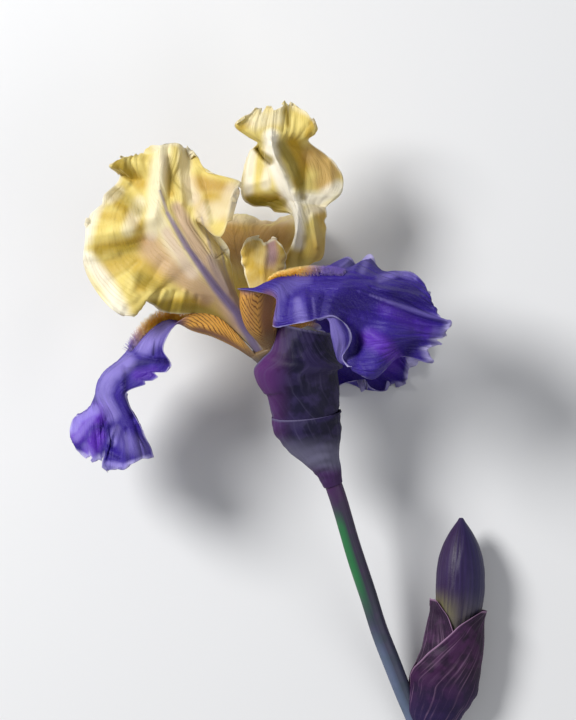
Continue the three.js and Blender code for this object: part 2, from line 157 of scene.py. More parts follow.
def capped(place, share):
    """Closes both ends of a swept skin with flat discs, which take up the first and last share of u."""
    def closed_place(u, v):
        along = np.clip((u - share) / (1 - 2 * share), 0, 1)
        skin = place(along, v)
        middle = (place(along, 0 * v) + place(along, 0 * v + 0.5)) / 2
        inwards = np.clip(np.maximum(share - u, u - 1 + share) / share, 0, 1)[..., None]
        return skin + (middle - skin) * inwards

    return closed_place


def colour(code):
    """A paint colour from its six-digit code, as the linear values that a shader takes."""
    parts = [int(code[i : i + 2], 16) / 255 for i in (0, 2, 4)]
    return (*[p / 12.92 if p <= 0.04045 else ((p + 0.055) / 1.055) ** 2.4 for p in parts], 1.0)


def node(tree, kind, inputs=None, **settings):
    """Adds a shader node. An input is a plain value or another node's output."""
    made = tree.nodes.new("ShaderNode" + kind)
    for key, value in settings.items():
        setattr(made, key, value)
    for key, value in (inputs or {}).items():
        if isinstance(value, bpy.types.NodeSocket):
            tree.links.new(value, made.inputs[key])
        else:
            made.inputs[key].default_value = value
    return made


def calc(tree, operation, a, b=0.0):
    """Adds one step of sums to a skin."""
    return node(tree, "Math", {0: a, 1: b}, operation=operation).outputs[0]


def away_from(tree, value, middle):
    """How far a value lies from a middle, on either side."""
    return calc(tree, "ABSOLUTE", calc(tree, "SUBTRACT", value, middle))


def between(tree, value, low, high, start=0.0, end=1.0):
    """Turns a value from low to high into one that eases from start to end."""
    inputs = {"Value": value, "From Min": low, "From Max": high, "To Min": start, "To Max": end}
    return node(tree, "MapRange", inputs, interpolation_type="SMOOTHSTEP").outputs["Result"]


def mixed(tree, share, under, over):
    """Paints a share of the colour over on top of the colour under. Each is a code or a node's output."""
    under, over = [colour(paint) if isinstance(paint, str) else paint for paint in (under, over)]
    return node(tree, "Mix", {0: share, 6: under, 7: over}, data_type="RGBA").outputs[2]


def noise(tree, place, scale, detail=2.0):
    return node(tree, "TexNoise", {"Vector": place, "Scale": scale, "Detail": detail}).outputs["Fac"]


def object_place(tree):
    """Where a point of a skin lies in the scene, in metres."""
    return node(tree, "TexCoord").outputs["Object"]


def skin_map(tree):
    """The surface's own map, from 0 to 1: X runs across the piece or round it, and Y along it."""
    return node(tree, "UVMap", uv_map="surface").outputs["UV"]


def axis_of(tree, place, axis):
    return node(tree, "SeparateXYZ", {0: place}).outputs[axis]


def streaked(tree, across, along, detail):
    """Uneven streaks that run along a piece. The first two values are how fine they are each way."""
    inputs = {"Vector": skin_map(tree), "Scale": (across, along, 1.0)}
    return noise(tree, node(tree, "Mapping", inputs).outputs["Vector"], 1.0, detail)


def new_skin(name):
    """A bare material and its node tree."""
    material = bpy.data.materials.new(name)
    material.use_nodes = True
    material.node_tree.nodes.clear()
    return material, material.node_tree


def finish_skin(tree, tint, roughness, height, depth, glow=0.0, shine=0.35):
    """Ends a skin: a plain surface with bumps, and for thin leaves a share of light that comes through."""
    bumps = node(tree, "Bump", {"Height": height, "Distance": depth, "Strength": 1.0}).outputs["Normal"]
    skin = node(
        tree,
        "BsdfPrincipled",
        {"Base Color": tint, "Roughness": roughness, "Specular IOR Level": shine, "Normal": bumps},
    ).outputs["BSDF"]
    if glow:
        inner = node(tree, "BsdfTranslucent", {"Color": tint, "Normal": bumps}).outputs["BSDF"]
        skin = node(tree, "MixShader", {0: glow, 1: skin, 2: inner}).outputs["Shader"]
    node(tree, "OutputMaterial", {"Surface": skin})


def new_group(name, values, outputs):
    """A node group with number inputs and outputs."""
    group = bpy.data.node_groups.new(name, "ShaderNodeTree")
    for label in values:
        group.interface.new_socket(label, in_out="INPUT", socket_type="NodeSocketFloat")
    for label in outputs:
        group.interface.new_socket(label, in_out="OUTPUT", socket_type="NodeSocketFloat")
    return group, group.nodes.new("NodeGroupInput"), group.nodes.new("NodeGroupOutput")


# Plant skin seen close: small cells that catch the light, over soft blotches. Each skin has its own size of
# both, and shows them as bumps and as a slight change of colour.
cells, cells_in, cells_out = new_group(
    "plant_cells", ["Cells per metre", "Blotches per metre"], ["Cells", "Blotches"]
)
cells_place = object_place(cells)
cell = node(cells, "TexVoronoi", {"Vector": cells_place, "Scale": cells_in.outputs["Cells per metre"]})
cells.links.new(cell.outputs["Distance"], cells_out.inputs["Cells"])
blotch = noise(cells, cells_place, cells_in.outputs["Blotches per metre"], 3.0)
cells.links.new(between(cells, blotch, 0.3, 0.7), cells_out.inputs["Blotches"])


def plant_cells(tree, fine, coarse):
    """The cells and the blotches of a skin, from how many there are in a metre."""
    inputs = {"Cells per metre": fine, "Blotches per metre": coarse}
    made = node(tree, "Group", inputs, node_tree=cells)
    return made.outputs["Cells"], made.outputs["Blotches"]


def stalk_radius(u, angle):
    return STALK_RADIUS + 0.3 * u + 0.05 * np.sin(6 * angle) + 0.06 * np.sin(23 * u)


def branch_radius(u, angle):
    return BRANCH_RADIUS - u + 0 * angle


stem = sheet(
    "stalk",
    [
        (*STALK_STEPS, capped(swept(STEM_LINE, stalk_radius), share=0.02)),
        (*BRANCH_STEPS, capped(swept(BRANCH_LINE, branch_radius), share=0.08)),
    ],
    closed=True,
)

# In the stem's skin, north is in metres up the picture.
stem_skin, tree = new_skin("stem_skin")
along = axis_of(tree, skin_map(tree), "Y")
around = axis_of(tree, skin_map(tree), "X")
north = axis_of(tree, object_place(tree), "Y")
fine, blotches = plant_cells(tree, fine=2200.0, coarse=160.0)
streaks = streaked(tree, across=26.0, along=2.5, detail=3.0)
green_foot = between(tree, north, -0.078, -0.05)
green_head = between(tree, north, -0.022, -0.036)
green_height = calc(tree, "MULTIPLY", green_foot, green_head)
off_streak = calc(tree, "MULTIPLY", away_from(tree, around, 0.16), 4.6)
left_side = between(tree, calc(tree, "SUBTRACT", 1.0, off_streak), 0.0, 0.7)
tint = mixed(tree, between(tree, streaks, 0.35, 0.65), STEM_DUSK, STEM_PALE_DUSK)
tint = mixed(tree, between(tree, north, -0.05, -0.11), tint, STEM_SLATE)
tint = mixed(tree, calc(tree, "MULTIPLY", green_height, left_side), tint, STEM_GREEN)
bloom = calc(tree, "MULTIPLY", left_side, between(tree, north, -0.07, -0.09, 0.0, 0.75))
tint = mixed(tree, bloom, tint, STEM_BLOOM)
tint = mixed(tree, between(tree, north, -0.034, -0.018), tint, STEM_TOP_PURPLE)
tint = mixed(tree, calc(tree, "MULTIPLY", blotches, 0.25), tint, STEM_MOTTLE)
tint = mixed(tree, between(tree, along, 0.978, 0.985), tint, STEM_CUT)
height = calc(tree, "ADD", calc(tree, "MULTIPLY", streaks, 0.6), calc(tree, "MULTIPLY", fine, 0.3))
roughness = between(tree, blotches, 0.0, 1.0, 0.42, 0.6)
finish_skin(tree, tint, roughness, height, depth=0.00012, shine=0.25)
stem.data.materials.append(stem_skin)
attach(stem, "root")
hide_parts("stem")


# Side bud: the petals of the next flower, rolled in a spiral into a pointed spindle. Its skin is waxy dark
# violet, and green low down, where the petals' backs are still unripe. It grows out of its two bracts.
# The girth is pairs of a place along the line and the radius there.
BUD_LINE = [
    (71.5, -156.4, -42.3),
    (73, -148, -40.5),
    (75.5, -136, -38.8),
    (78.5, -120, -37.6),
    (80.6, -101.5, -37.2),
    (81, -88, -37),
    (81, -71.4, -36),
]
BUD_GIRTH = [
    (0, 2.2),
    (0.12, 4),
    (0.25, 5.4),
    (0.4, 7),
    (0.5, 8.6),
    (0.58, 9.8),
    (0.66, 10.3),
    (0.74, 10.2),
    (0.81, 9.3),
    (0.87, 7.6),
    (0.93, 4.9),
    (0.97, 2.5),
    (1, 0.6),
]
BUD_STEPS = (132, 120)
BUD_DARK = "1e1136"
BUD_VIOLET = "2c1d4c"
BUD_WINE = "2c123c"
BUD_SLATE = "2e2e52"
BUD_GREEN = "8c8850"
BUD_MOTTLE = "3c345a"


def stops(pairs, t):
    """Reads a value at t from pairs of place and value, straight between them."""
    at, value = zip(*pairs)
    return np.interp(t, at, value)


def bud_radius(u, angle):
    soft = (stops(BUD_GIRTH, u - 0.015) + stops(BUD_GIRTH, u) + stops(BUD_GIRTH, u + 0.015)) / 3
    turn = (3 * angle - 7 * u) / (2 * math.pi) % 1
    lap = 0.045 * (1 - turn) ** 2 * ease(0, 0.1, turn) - 0.02
    ribs = 0.006 * np.sin(33 * angle + 4 * u)
    return soft * (1 + (lap + ribs) * ease(0.3, 0.5, u) * ease(1.0, 0.94, u))


bud_shape = capped(swept(BUD_LINE, bud_radius), share=0.01)
bud = sheet("rolled_bud", [(*BUD_STEPS, bud_shape)], closed=True)

bud_skin, tree = new_skin("bud_skin")
along = axis_of(tree, skin_map(tree), "Y")
around = axis_of(tree, skin_map(tree), "X")
fine, blotches = plant_cells(tree, fine=1800.0, coarse=120.0)
streaks = streaked(tree, across=46.0, along=3.0, detail=4.0)
tint = mixed(tree, between(tree, streaks, 0.35, 0.7), BUD_DARK, BUD_VIOLET)
left_side = between(tree, away_from(tree, around, 0.8), 0.22, 0.05)
tint = mixed(tree, calc(tree, "MULTIPLY", left_side, 0.7), tint, BUD_WINE)
right_side = between(tree, away_from(tree, around, 0.2), 0.2, 0.05)
tint = mixed(tree, calc(tree, "MULTIPLY", right_side, 0.6), tint, BUD_SLATE)
low = between(tree, along, 0.68, 0.5)
low = calc(tree, "MULTIPLY", low, calc(tree, "ADD", 0.3, calc(tree, "MULTIPLY", left_side, 0.9)))
low = calc(tree, "MULTIPLY", low, between(tree, streaks, 0.3, 0.6, 0.25, 0.8))
tint = mixed(tree, low, tint, BUD_GREEN)
tint = mixed(tree, calc(tree, "MULTIPLY", blotches, 0.2), tint, BUD_MOTTLE)
height = calc(tree, "ADD", streaks, calc(tree, "MULTIPLY", fine, 0.3))
roughness = between(tree, streaks, 0.3, 0.7, 0.42, 0.58)
finish_skin(tree, tint, roughness, height, depth=0.00015, shine=0.25)
bud.data.materials.append(bud_skin)
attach(bud, "root")
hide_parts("bud")


# Bud bracts: two papery leaves rolled round the bud's foot, the outer one lapped over the inner. They are
# dark plum with fine pale veins and thin light edges, and grow from the tip of the branch.
# An arc is its place along the line, its two radii, and the angles in degrees where it starts and ends.
BUD_BRACT_LINE = [
    (65.6, -157.6, -42.6),
    (70.2, -149, -40.7),
    (73.6, -140, -39.2),
    (76.5, -128, -38.2),
    (79, -113, -37.5),
    (80.5, -102, -37.2),
]
BUD_BRACTS = {
    "bud_bract_inner": [
        (0.05, 5.4, 4.0, 30, 370),
        (0.1, 8.6, 5.0, 30, 368),
        (0.2, 10.4, 6.6, 30, 362),
        (0.4, 12.8, 8.6, 40, 345),
        (0.6, 12.2, 9.2, 65, 290),
        (0.8, 10.9, 10.4, 108, 238),
        (0.92, 12.0, 11.6, 143, 178),
    ],
    "bud_bract_outer": [
        (0, 5.8, 4.7, -175, 165),
        (0.035, 8.8, 5.6, -175, 166),
        (0.09, 10.9, 6.5, -174, 167),
        (0.2, 12.3, 8.0, -172, 168),
        (0.4, 14.7, 9.9, -166, 170),
        (0.6, 13.6, 10.8, -150, 131),
        (0.8, 11.6, 11.5, -115, 75),
        (0.88, 12.1, 11.9, -90, 30),
    ],
}
ROLL_RIBS = 17
ROLL_POINTS = 25
BRACT_STEPS = (110, 90)
BRACT_THICKNESS = 0.0006
BRACT_RIM_SHARE = 0.25
REST_HEIGHT = 0.4
LANDING_BEND = 2.5


def normal_of(surface, u, v):
    """The direction in which a leaf's surface faces at u, v."""
    step = 1e-3
    du = surface(np.minimum(u + step, 1), v) - surface(np.maximum(u - step, 0), v)
    dv = surface(u, np.minimum(v + step, 1)) - surface(u, np.maximum(v - step, 0))
    normal = np.cross(dv, du)
    return normal / np.maximum(np.linalg.norm(normal, axis=-1, keepdims=True), 1e-9)


def pressed(point):
    """Lays what would reach below the table flat on it, with a soft bend where it lands."""
    lowest = REST_HEIGHT - HEART[2] / MM
    over = point[..., 2] - lowest + LANDING_BEND
    landing = lowest + np.maximum(over, 0) ** 2 / (4 * LANDING_BEND)
    point = point.copy()
    point[..., 2] = np.where(over < 2 * LANDING_BEND, landing, point[..., 2])
    return point


def brush(place, points, start, end):
    """How far each place lies from a stroke through points, in parts of its reach from start to end."""
    points = np.array(points, float)
    nearest = np.full(len(place), 9.0)
    for i, (a, b) in enumerate(zip(points, points[1:])):
        t = np.clip((place - a) @ (b - a) / ((b - a) @ (b - a)), 0, 1)
        away = np.linalg.norm(place - a - t[:, None] * (b - a), axis=1)
        reach = start + (end - start) * (i + t) / (len(points) - 1)
        nearest = np.minimum(nearest, away / reach)
    return nearest


def lofted(ribs, lift, folds=()):
    """A leaf's middle surface through its ribs, raised by lift(u, v) along its own normal. A fold is the
    points of its crest seen from above, its half width at both ends, and its height."""
    def loft(u, v):
        rows = np.stack([through(rib, v) for rib in ribs], axis=-2)
        return through(rows, u)

    def surface(u, v):
        point = loft(u, v) + normal_of(loft, u, v) * lift(u, v)[..., None]
        for crest, start, end, height in folds:
            flank = np.clip(1 - brush(point[:, :2], crest, start, end), 0, 1)
            point[:, 2] += height * flank**1.6 * ease(0.05, 0.25, u)
        return pressed(point)

    return surface


def rolled(line, arcs, lap):
    """The ribs of a leaf that is rolled round a line. Its last edge stands out over its first by a share of
    the radius, lap."""
    step = 1e-4
    rows = np.linspace(arcs[0][0], arcs[-1][0], ROLL_RIBS)
    at = through(line, rows, even=False)
    heading = through(line, np.minimum(rows + step, 1), even=False) - through(line, rows - step, even=False)
    heading /= np.linalg.norm(heading, axis=-1, keepdims=True)
    side = np.cross(heading, (0, 0, 1))
    side /= np.linalg.norm(side, axis=-1, keepdims=True)
    rise = np.cross(side, heading)
    wide, tall, start, end = [
        stops([(arc[0], arc[k]) for arc in arcs], rows)[:, None] for k in (1, 2, 3, 4)
    ]
    way_round = np.linspace(0, 1, ROLL_POINTS)
    angle = np.radians(start + (end - start) * way_round)
    spiral = 1 + lap * (way_round - 0.5)
    across = side[:, None, :] * (spiral * wide * np.cos(angle))[..., None]
    upwards = rise[:, None, :] * (spiral * tall * np.sin(angle))[..., None]
    return at[:, None, :] + across + upwards


def thicken(piece, thickness, rim_share, weights):
    """Gives a leaf its two faces. weights is 1 where the leaf is full and 0 at its thin rim."""
    group = piece.vertex_groups.new(name="body")
    for i, weight in enumerate(weights):
        group.add([i], float(weight), "REPLACE")
    wall = piece.modifiers.new("thickness", "SOLIDIFY")
    wall.thickness = thickness
    wall.offset = 0
    wall.vertex_group = "body"
    wall.thickness_vertex_group = rim_share


def steps_of(across, along):
    """The u and v of each grid point, in the order in which the grid makes them."""
    v, u = np.meshgrid(np.linspace(0, 1, across + 1), np.linspace(0, 1, along + 1))
    return u.ravel(), v.ravel()


def bract_lift(u, v):
    """A bract's fine ribs, its soft crumples and the wrinkles across it."""
    ribs = 0.07 * np.sin(2 * math.pi * 17 * v)
    crumple = 0.35 * np.sin(9 * v + 5 * u) * np.sin(13 * u)
    wrinkles = 0.16 * np.sin(47 * u + 5 * np.sin(8 * v)) * np.sin(5 * v + 3 * u + 1) ** 2
    return (ribs + crumple + wrinkles) * ease(0, 0.2, u)


def bract_leaf(name, line, arcs, lap=0.0):
    piece = sheet(name, [(*BRACT_STEPS, lofted(rolled(line, arcs, lap), bract_lift))])
    u, v = steps_of(*BRACT_STEPS)
    full = ease(0, 0.08, np.minimum(v, 1 - v)) * ease(1, 0.9, u)
    thicken(piece, BRACT_THICKNESS, BRACT_RIM_SHARE, full)
    return piece


def edge_of(tree):
    """How far a point lies from the nearest free edge of a leaf, in parts of the leaf."""
    along = axis_of(tree, skin_map(tree), "Y")
    across = axis_of(tree, skin_map(tree), "X")
    beside = calc(tree, "MINIMUM", across, calc(tree, "SUBTRACT", 1.0, across))
    return calc(tree, "MINIMUM", beside, calc(tree, "SUBTRACT", 1.0, along))


def papery_skin(name, ground, flush, pale, vein_share, patches):
    """Bract skin: fine veins that run along the leaf, pale edges, and patches of colour down the plant. A
    patch is its axis, where it starts and is full along that axis in metres, and its colour."""
    material, tree = new_skin(name)
    fine, blotches = plant_cells(tree, fine=1500.0, coarse=140.0)
    veins = streaked(tree, across=60.0, along=2.2, detail=4.0)
    tint = mixed(tree, between(tree, blotches, 0.2, 0.8), ground, flush)
    for axis, low, high, code in patches:
        way = axis_of(tree, object_place(tree), axis)
        tint = mixed(tree, between(tree, way, low, high), tint, code)
    tint = mixed(tree, between(tree, veins, 0.52, 0.75, 0.0, vein_share), tint, pale)
    tint = mixed(tree, between(tree, edge_of(tree), 0.022, 0.004, 0.0, 0.8), tint, pale)
    height = calc(tree, "ADD", veins, calc(tree, "MULTIPLY", fine, 0.25))
    roughness = between(tree, veins, 0.3, 0.7, 0.5, 0.65)
    finish_skin(tree, tint, roughness, height, depth=0.0002, glow=0.08, shine=0.2)
    return material


bud_bract_skin = papery_skin(
    "bud_bract_skin",
    ground="28142e",
    flush="3e1e42",
    pale="a07c9c",
    vein_share=0.4,
    patches=[("Y", -0.09, -0.12, "2a2048")],
)
for name, arcs in BUD_BRACTS.items():
    leaf = bract_leaf(name + "_leaf", BUD_BRACT_LINE, arcs)
    leaf.data.materials.append(bud_bract_skin)
    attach(leaf, "root")
    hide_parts(name)


# Ovary and tube: the green ovary hidden in the bracts, its neck, and the fleshy funnel that the petals
# stand on. It is one grown piece on the end of the stem, brown-gold at its mouth and grey-violet below.
# The girth is pairs of a place along the line and the radius there.
TUBE_LINE = [(24.18, -47.69, -9.75), (16.5, -32, -6), (8.5, -16, -3), (-0.1, 0.3, 0.1)]
TUBE_GIRTH = [
    (0, 2.6),
    (0.15, 4.6),
    (0.42, 4.4),
    (0.6, 3.6),
    (0.8, 5.2),
    (0.91, 6.8),
    (0.97, 8.1),
    (1, 8.4),
]
TUBE_STEPS = (60, 70)
OVARY_GREEN = "5d7a4a"
TUBE_VIOLET = "5a5670"
TUBE_GREY = "645a56"
TUBE_BROWN = "6a5436"
TUBE_STREAK = "8c7040"


def tube_radius(u, angle):
    ridges = 0.02 * np.cos(6 * angle) + 0.006 * np.sin(29 * angle) - 0.03
    rounded_mouth = 1 - 0.05 * ease(0.97, 1.0, u) ** 2
    return stops(TUBE_GIRTH, u) * (1 + ridges) * rounded_mouth


tube_shape = capped(swept(TUBE_LINE, tube_radius), share=0.05)
tube = sheet("flower_tube", [(*TUBE_STEPS, tube_shape)], closed=True)

tube_skin, tree = new_skin("tube_skin")
along = axis_of(tree, skin_map(tree), "Y")
fine, blotches = plant_cells(tree, fine=1600.0, coarse=150.0)
streaks = streaked(tree, across=40.0, along=3.0, detail=3.0)
tint = mixed(tree, between(tree, along, 0.55, 0.8), OVARY_GREEN, TUBE_VIOLET)
tint = mixed(tree, between(tree, along, 0.78, 0.88), tint, TUBE_GREY)
tint = mixed(tree, between(tree, along, 0.86, 0.96), tint, TUBE_BROWN)
tint = mixed(tree, between(tree, streaks, 0.5, 0.7, 0.0, 0.4), tint, TUBE_STREAK)
height = calc(tree, "ADD", streaks, calc(tree, "MULTIPLY", fine, 0.3))
roughness = between(tree, blotches, 0.0, 1.0, 0.45, 0.6)
finish_skin(tree, tint, roughness, height, depth=0.00015)
tube.data.materials.append(tube_skin)
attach(tube, "root")
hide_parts("ovary_tube")


# Bracts of the open flower: two papery leaves rolled round the ovary and the tube, the outer one shorter.
# They are dark slate and violet with a grey band above the plum foot, and grow from the top of the stem.
BRACT_LINE = [
    (27.6, -57, -11.7),
    (24.5, -48.3, -9.9),
    (19.8, -38, -7.2),
    (16.3, -28, -5),
    (15, -17, -3),
    (13.4, -10, -2),
    (14, -2, -1),
    (16, 8, 0),
]
OUTER_BRACT = [
    (0, 3.75, 3.75, -80, 255),
    (0.25, 5.9, 5.5, -78, 250),
    (0.5, 11.6, 9, -66, 240),
    (0.68, 14.5, 10.9, -52, 228),
    (0.75, 13.9, 10.3, -50, 225),
]
INNER_BRACT = [
    (1 / 7, 4.6, 4.3, -250, 108),
    (2 / 7, 9.2, 6.9, -245, 128),
    (3 / 7, 13.5, 9.8, -228, 160),
    (4 / 7, 14.8, 11, -203, 186),
    (4.5 / 7, 15.8, 12, -195, 184),
    (5 / 7, 17.9, 14, -186, 182),
    (5.5 / 7, 17.4, 15, -146, 150),
    (6 / 7, 14.5, 13, -80, 138),
    (1, 12.3, 12, -20, 152),
]
bract_skin = papery_skin(
    "bract_skin",
    ground="17142e",
    flush="2c2448",
    pale="5e5878",
    vein_share=0.25,
    patches=[
        ("X", 0.007, -0.008, "522661"),
        ("Y", 0.006, -0.004, "65627a"),
        ("Y", -0.006, -0.012, "3e2450"),
    ],
)
outer_line = BRACT_LINE[:4] + [(18, -17, -3)]
for name, line, arcs, lap in (
    ("bract_outer", outer_line, OUTER_BRACT, 0.0),
    ("bract_inner", BRACT_LINE, INNER_BRACT, 0.06),
):
    leaf = bract_leaf(name + "_leaf", line, arcs, lap)
    leaf.data.materials.append(bract_skin)
    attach(leaf, "root")
    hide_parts(name)


# Their violet carries painted shade, painted light and painted highlights, brushed on as masks.
# Falls: the three hanging petals, thin and soft, each a channelled haft, a crest and a broad ruffled blade.
# They are violet with white rims, gold with brown veins at the haft, and grow from the rim of the tube.
# A petal is the ribs across it, from its foot to its end. AXIS is the way in which the flower looks.
AXIS = np.array((-0.42, 0.9, 0.1)) / np.linalg.norm((-0.42, 0.9, 0.1))
ASIDE = np.array((0.9, 0.42, 0)) / np.linalg.norm((0.9, 0.42, 0))
TOWARDS = np.cross(ASIDE, AXIS)


def foot(start, end, radius, height, count=5):
    """The narrow foot of a petal: a short arc round the throat, from one bearing to another in degrees."""
    bearing = np.radians(np.linspace(start, end, count))[:, None]
    return AXIS * height + ASIDE * radius * np.cos(bearing) - TOWARDS * radius * np.sin(bearing)


LEFT_FALL = [
    foot(226, 144, 7.5, -1.6),
    [(-12, 5, 6), (-12, 1, 4.5), (-12.5, -0.5, 0), (-12.5, 1, -4.5), (-12.5, 6, -6)],
    [(-20, 12, 8), (-21, 6, 7.5), (-22, 4, 0), (-22, 6, -7.5), (-21, 13, -8)],
    [(-30, 13, 10), (-30, 8, 8), (-30.5, 6.5, 0), (-31, 9, -8), (-31, 14, -10)],
    [(-38.5, 7, 11), (-38.5, 9, 6.5), (-39, 10.5, 0), (-40, 10, -7), (-41, 8, -11)],
    [(-42, -1, 13), (-45, 3.5, 9), (-48, 6, 1), (-51, 4, -9), (-53, -1, -16)],
    [(-39, -8, 18), (-49, -6, 12), (-57, -4, 2), (-60, -6, -9), (-62, -12, -20)],
    [(-46, -15, 18), (-57, -12, 13), (-66, -11.5, 2), (-68, -15, -9), (-68, -24, -20)],
    [(-57, -20, 13), (-63, -20, 9), (-69, -19, 2), (-71, -24, -8), (-75.5, -27.5, -17)],
    [(-52, -31, 12), (-58, -30, 11), (-65, -28, 3), (-71, -29, -5), (-79, -31, -12)],
    [(-47.5, -39.5, 9), (-55, -40, 12), (-63, -38, -2), (-70, -37, 0), (-80, -37, -7)],
    [(-45.5, -45, 8), (-55, -48.5, 11), (-64.5, -50.5, 5), (-69, -48, 0), (-77.5, -43, -5)],
]
RIGHT_FALL = [
    foot(262, 345, 7.5, -1.6, 6),
    [(-7.5, 7, 10), (-6.5, 5.5, 12.5), (-3.5, 5, 13.5), (0, 5.5, 12.5), (3, 7, 10), (4.5, 9, 7)],
    [(-10.5, 15, 15), (-9, 13, 18.5), (-5.5, 12.5, 20.5), (-1, 13, 19.5), (3.5, 14.5, 16), (6, 17, 10)],
    [(-10.5, 22, 20), (-9, 20, 24), (-5, 20, 26.5), (0, 22, 26), (6, 24, 21), (9, 26, 14)],
    [(-10.5, 23, 27), (-4, 23.5, 30.5), (0, 25.5, 31), (4, 27, 28), (8, 28, 20), (12, 28.5, 12)],
    [(4, 19, 37), (4.5, 21, 37), (6, 25, 35), (10, 28.5, 29), (14, 29.5, 20), (17, 29.5, 10)],
    [(3, 8, 41), (5.5, 12, 41), (10, 20, 39), (17, 29, 30), (20, 30.5, 20), (24, 30.5, 8)],
    [(14, 9.5, 45), (15.5, 14, 44.5), (19, 21, 41), (25, 29, 31), (29, 32.5, 20), (33.5, 36.4, 6)],
    [
        (21, 10.5, 47),
        (20.5, 12.5, 45.8),
        (24, 20.5, 42.5),
        (30, 28.5, 32),
        (33.5, 31.3, 21),
        (38.3, 33.6, 8),
    ],
    [(28, 11.5, 49), (25.5, 11, 47), (29, 20, 44), (35, 28, 33), (38, 33, 22), (43, 36.6, 8)],
    [(35.5, 4.5, 45), (27, 3, 43), (36, 12, 42), (43, 24, 35), (47, 28.5, 25), (47, 29.8, 12)],
    [(32, -5, 38), (31, -6.5, 35.5), (39, 3, 39), (49, 20, 37), (53, 27, 28), (53, 30, 17)],
    [(42, -13, 40), (44, -8, 44), (48, 3, 42), (55, 17, 36), (59, 25, 28), (60, 30.5, 20)],
    [(52.5, -4, 34), (56, -1.5, 35), (61, 4.5, 36), (65, 12, 33), (66, 19, 29), (65, 26.5, 23)],
    [(66, -7, 31), (69, -2, 32), (72, 4, 33), (74, 10, 32), (67, 13, 30.5), (66.5, 18, 28)],
]
BACK_FALL = [
    foot(22, 108, 7.5, -1.6),
    [(9, 7, -6.5), (9, 6.5, -10), (6, 7, -13), (2, 8.5, -13.5), (0, 10, -11.5)],
    [(14.5, 8.5, -12), (14.5, 8, -19), (10.5, 11, -23), (4.5, 15, -23), (1, 19, -18)],
    [(21, 8, -22), (20, 11, -29), (16, 15, -33), (9, 20, -33), (3, 24, -28)],
    [(24, 0, -38), (26, 8, -41), (25, 15, -42), (20, 23, -42), (14, 29, -39)],
    [(20, -14, -46), (30, -2, -49), (35, 8, -49.5), (36, 20, -48), (34, 32, -42)],
    [(29, -19, -42), (38, -14, -49), (46, -6, -49.5), (52, 6, -48), (53, 20, -42)],
    [(41, -16, -40), (50, -16.5, -46), (57, -15, -47), (61, -9, -45), (61, 4, -40)],
]


PETAL_STEPS = (130, 180)
PETAL_THICKNESS = 0.00055
PETAL_RIM_SHARE = 0.3
CRINKLE_WAVES = 22
OUTLINE_DEPTH = 0.012
CELL_GLINT = "ffffff"


def ruffle(u, v, height, waves, focus, start, phase=0.0, clear=0.35):
    """How far a ruffle lifts a petal. The waves fan out from a point on the midrib and grow to the rim."""
    out = 2 * v - 1
    up = (u - focus) / (1 - focus)
    reach = np.minimum(1, np.hypot(np.maximum(up, 0), out))
    fan = np.arctan2(out, up)
    return height * ease(start, 1, reach) * ease(clear - 0.2, clear + 0.15, u) * np.sin(waves * fan + phase)


def crinkles(u, v, seed):
    """Small sharp ridges that run up a petal and wander a little, from 0 to 1, stronger in some patches."""
    draw = np.random.default_rng(seed)
    field = np.zeros(u.shape)
    patch = np.zeros(u.shape)
    for _ in range(CRINKLE_WAVES):
        across, along, turn = draw.uniform(25, 95), draw.normal(0, 13), draw.uniform(0, 2 * math.pi)
        field += np.sin(across * v + along * u + turn)
        patch += np.sin(0.2 * across * v + draw.normal(0, 9) * u + turn)
    spread = math.sqrt(CRINKLE_WAVES / 2)
    return (1 - np.minimum(np.abs(field) / spread, 1)) ** 2 * (0.5 + 0.5 * np.tanh(patch / spread))


def petal_lift(ruffles, crimp, seed):
    """The petal's own ruffles, then finer crimps along its rim and pleats that run up from its foot."""
    draw = np.random.default_rng(seed)
    shift = draw.uniform(0, 2 * math.pi, 12)

    def lift(u, v):
        whole = sum(ruffle(u, v, **r) for r in ruffles)
        out = 2 * v - 1
        rim = np.maximum(np.abs(out), ease(0.3, 1, u))
        way = np.arctan2(out, (u - 0.3) * 1.4)
        crimps = np.sin(23 * way + 2.5 * np.sin(5 * way + shift[0]) + shift[1])
        crimps += 0.6 * np.sin(47 * way + 3 * np.sin(7 * way + shift[2]) + shift[3])
        strong = 0.6 + 0.4 * np.sin(4 * way + shift[4])
        whole += crimp * strong * crimps * ease(0.78, 1.0, rim) * ease(0.3, 0.5, u)
        for k, (count, size) in enumerate(((4, 1.0), (7, 0.8), (12, 0.6), (19, 0.4))):
            pleat = np.sin(math.pi * count * out - (2 + k) * u * np.sign(out) + shift[5 + k])
            whole += 0.1 * size * pleat * ease(0.15, 0.5, u)
        return whole + 0.9 * crimp * crinkles(u, v, seed + 100) * ease(0.2, 0.45, u)

    return lift


def scalloped(surface, seed, notches, tip_notches):
    """Gives a petal an uneven outline: its rims swell and draw in by a small share of its width. A notch is
    its side, 0 or 1, its middle and half width along the petal, and how deep it cuts. A tip notch is the
    same across the petal's end."""
    draw = np.random.default_rng(seed)
    shift = draw.uniform(0, 2 * math.pi, 9)

    def lobes(way, first):
        slow = np.sin(17 * way + shift[first]) + 0.7 * np.sin(33 * way + shift[first + 1])
        return (slow + 0.2 * np.sin(71 * way + shift[first + 2])) * OUTLINE_DEPTH

    def place(u, v):
        left = lobes(u, 0)
        right = lobes(u, 3)
        for side, middle, half, cut in notches:
            bite = cut * np.clip(1 - np.abs(u - middle) / half, 0, 1)
            if side:
                right = right - bite
            else:
                left = left - bite
        left = left * ease(0.25, 0, v)
        right = right * ease(0.75, 1, v)
        tip = lobes(v * 0.7, 6) * ease(0.88, 1, u)
        for middle, half, cut in tip_notches:
            tip = tip - cut * np.clip(1 - np.abs(v - middle) / half, 0, 1) * ease(0.7, 1, u)
        free = ease(0.25, 0.45, u)
        return surface(u + tip * 0.8, v + (right - left) * free)

    return place


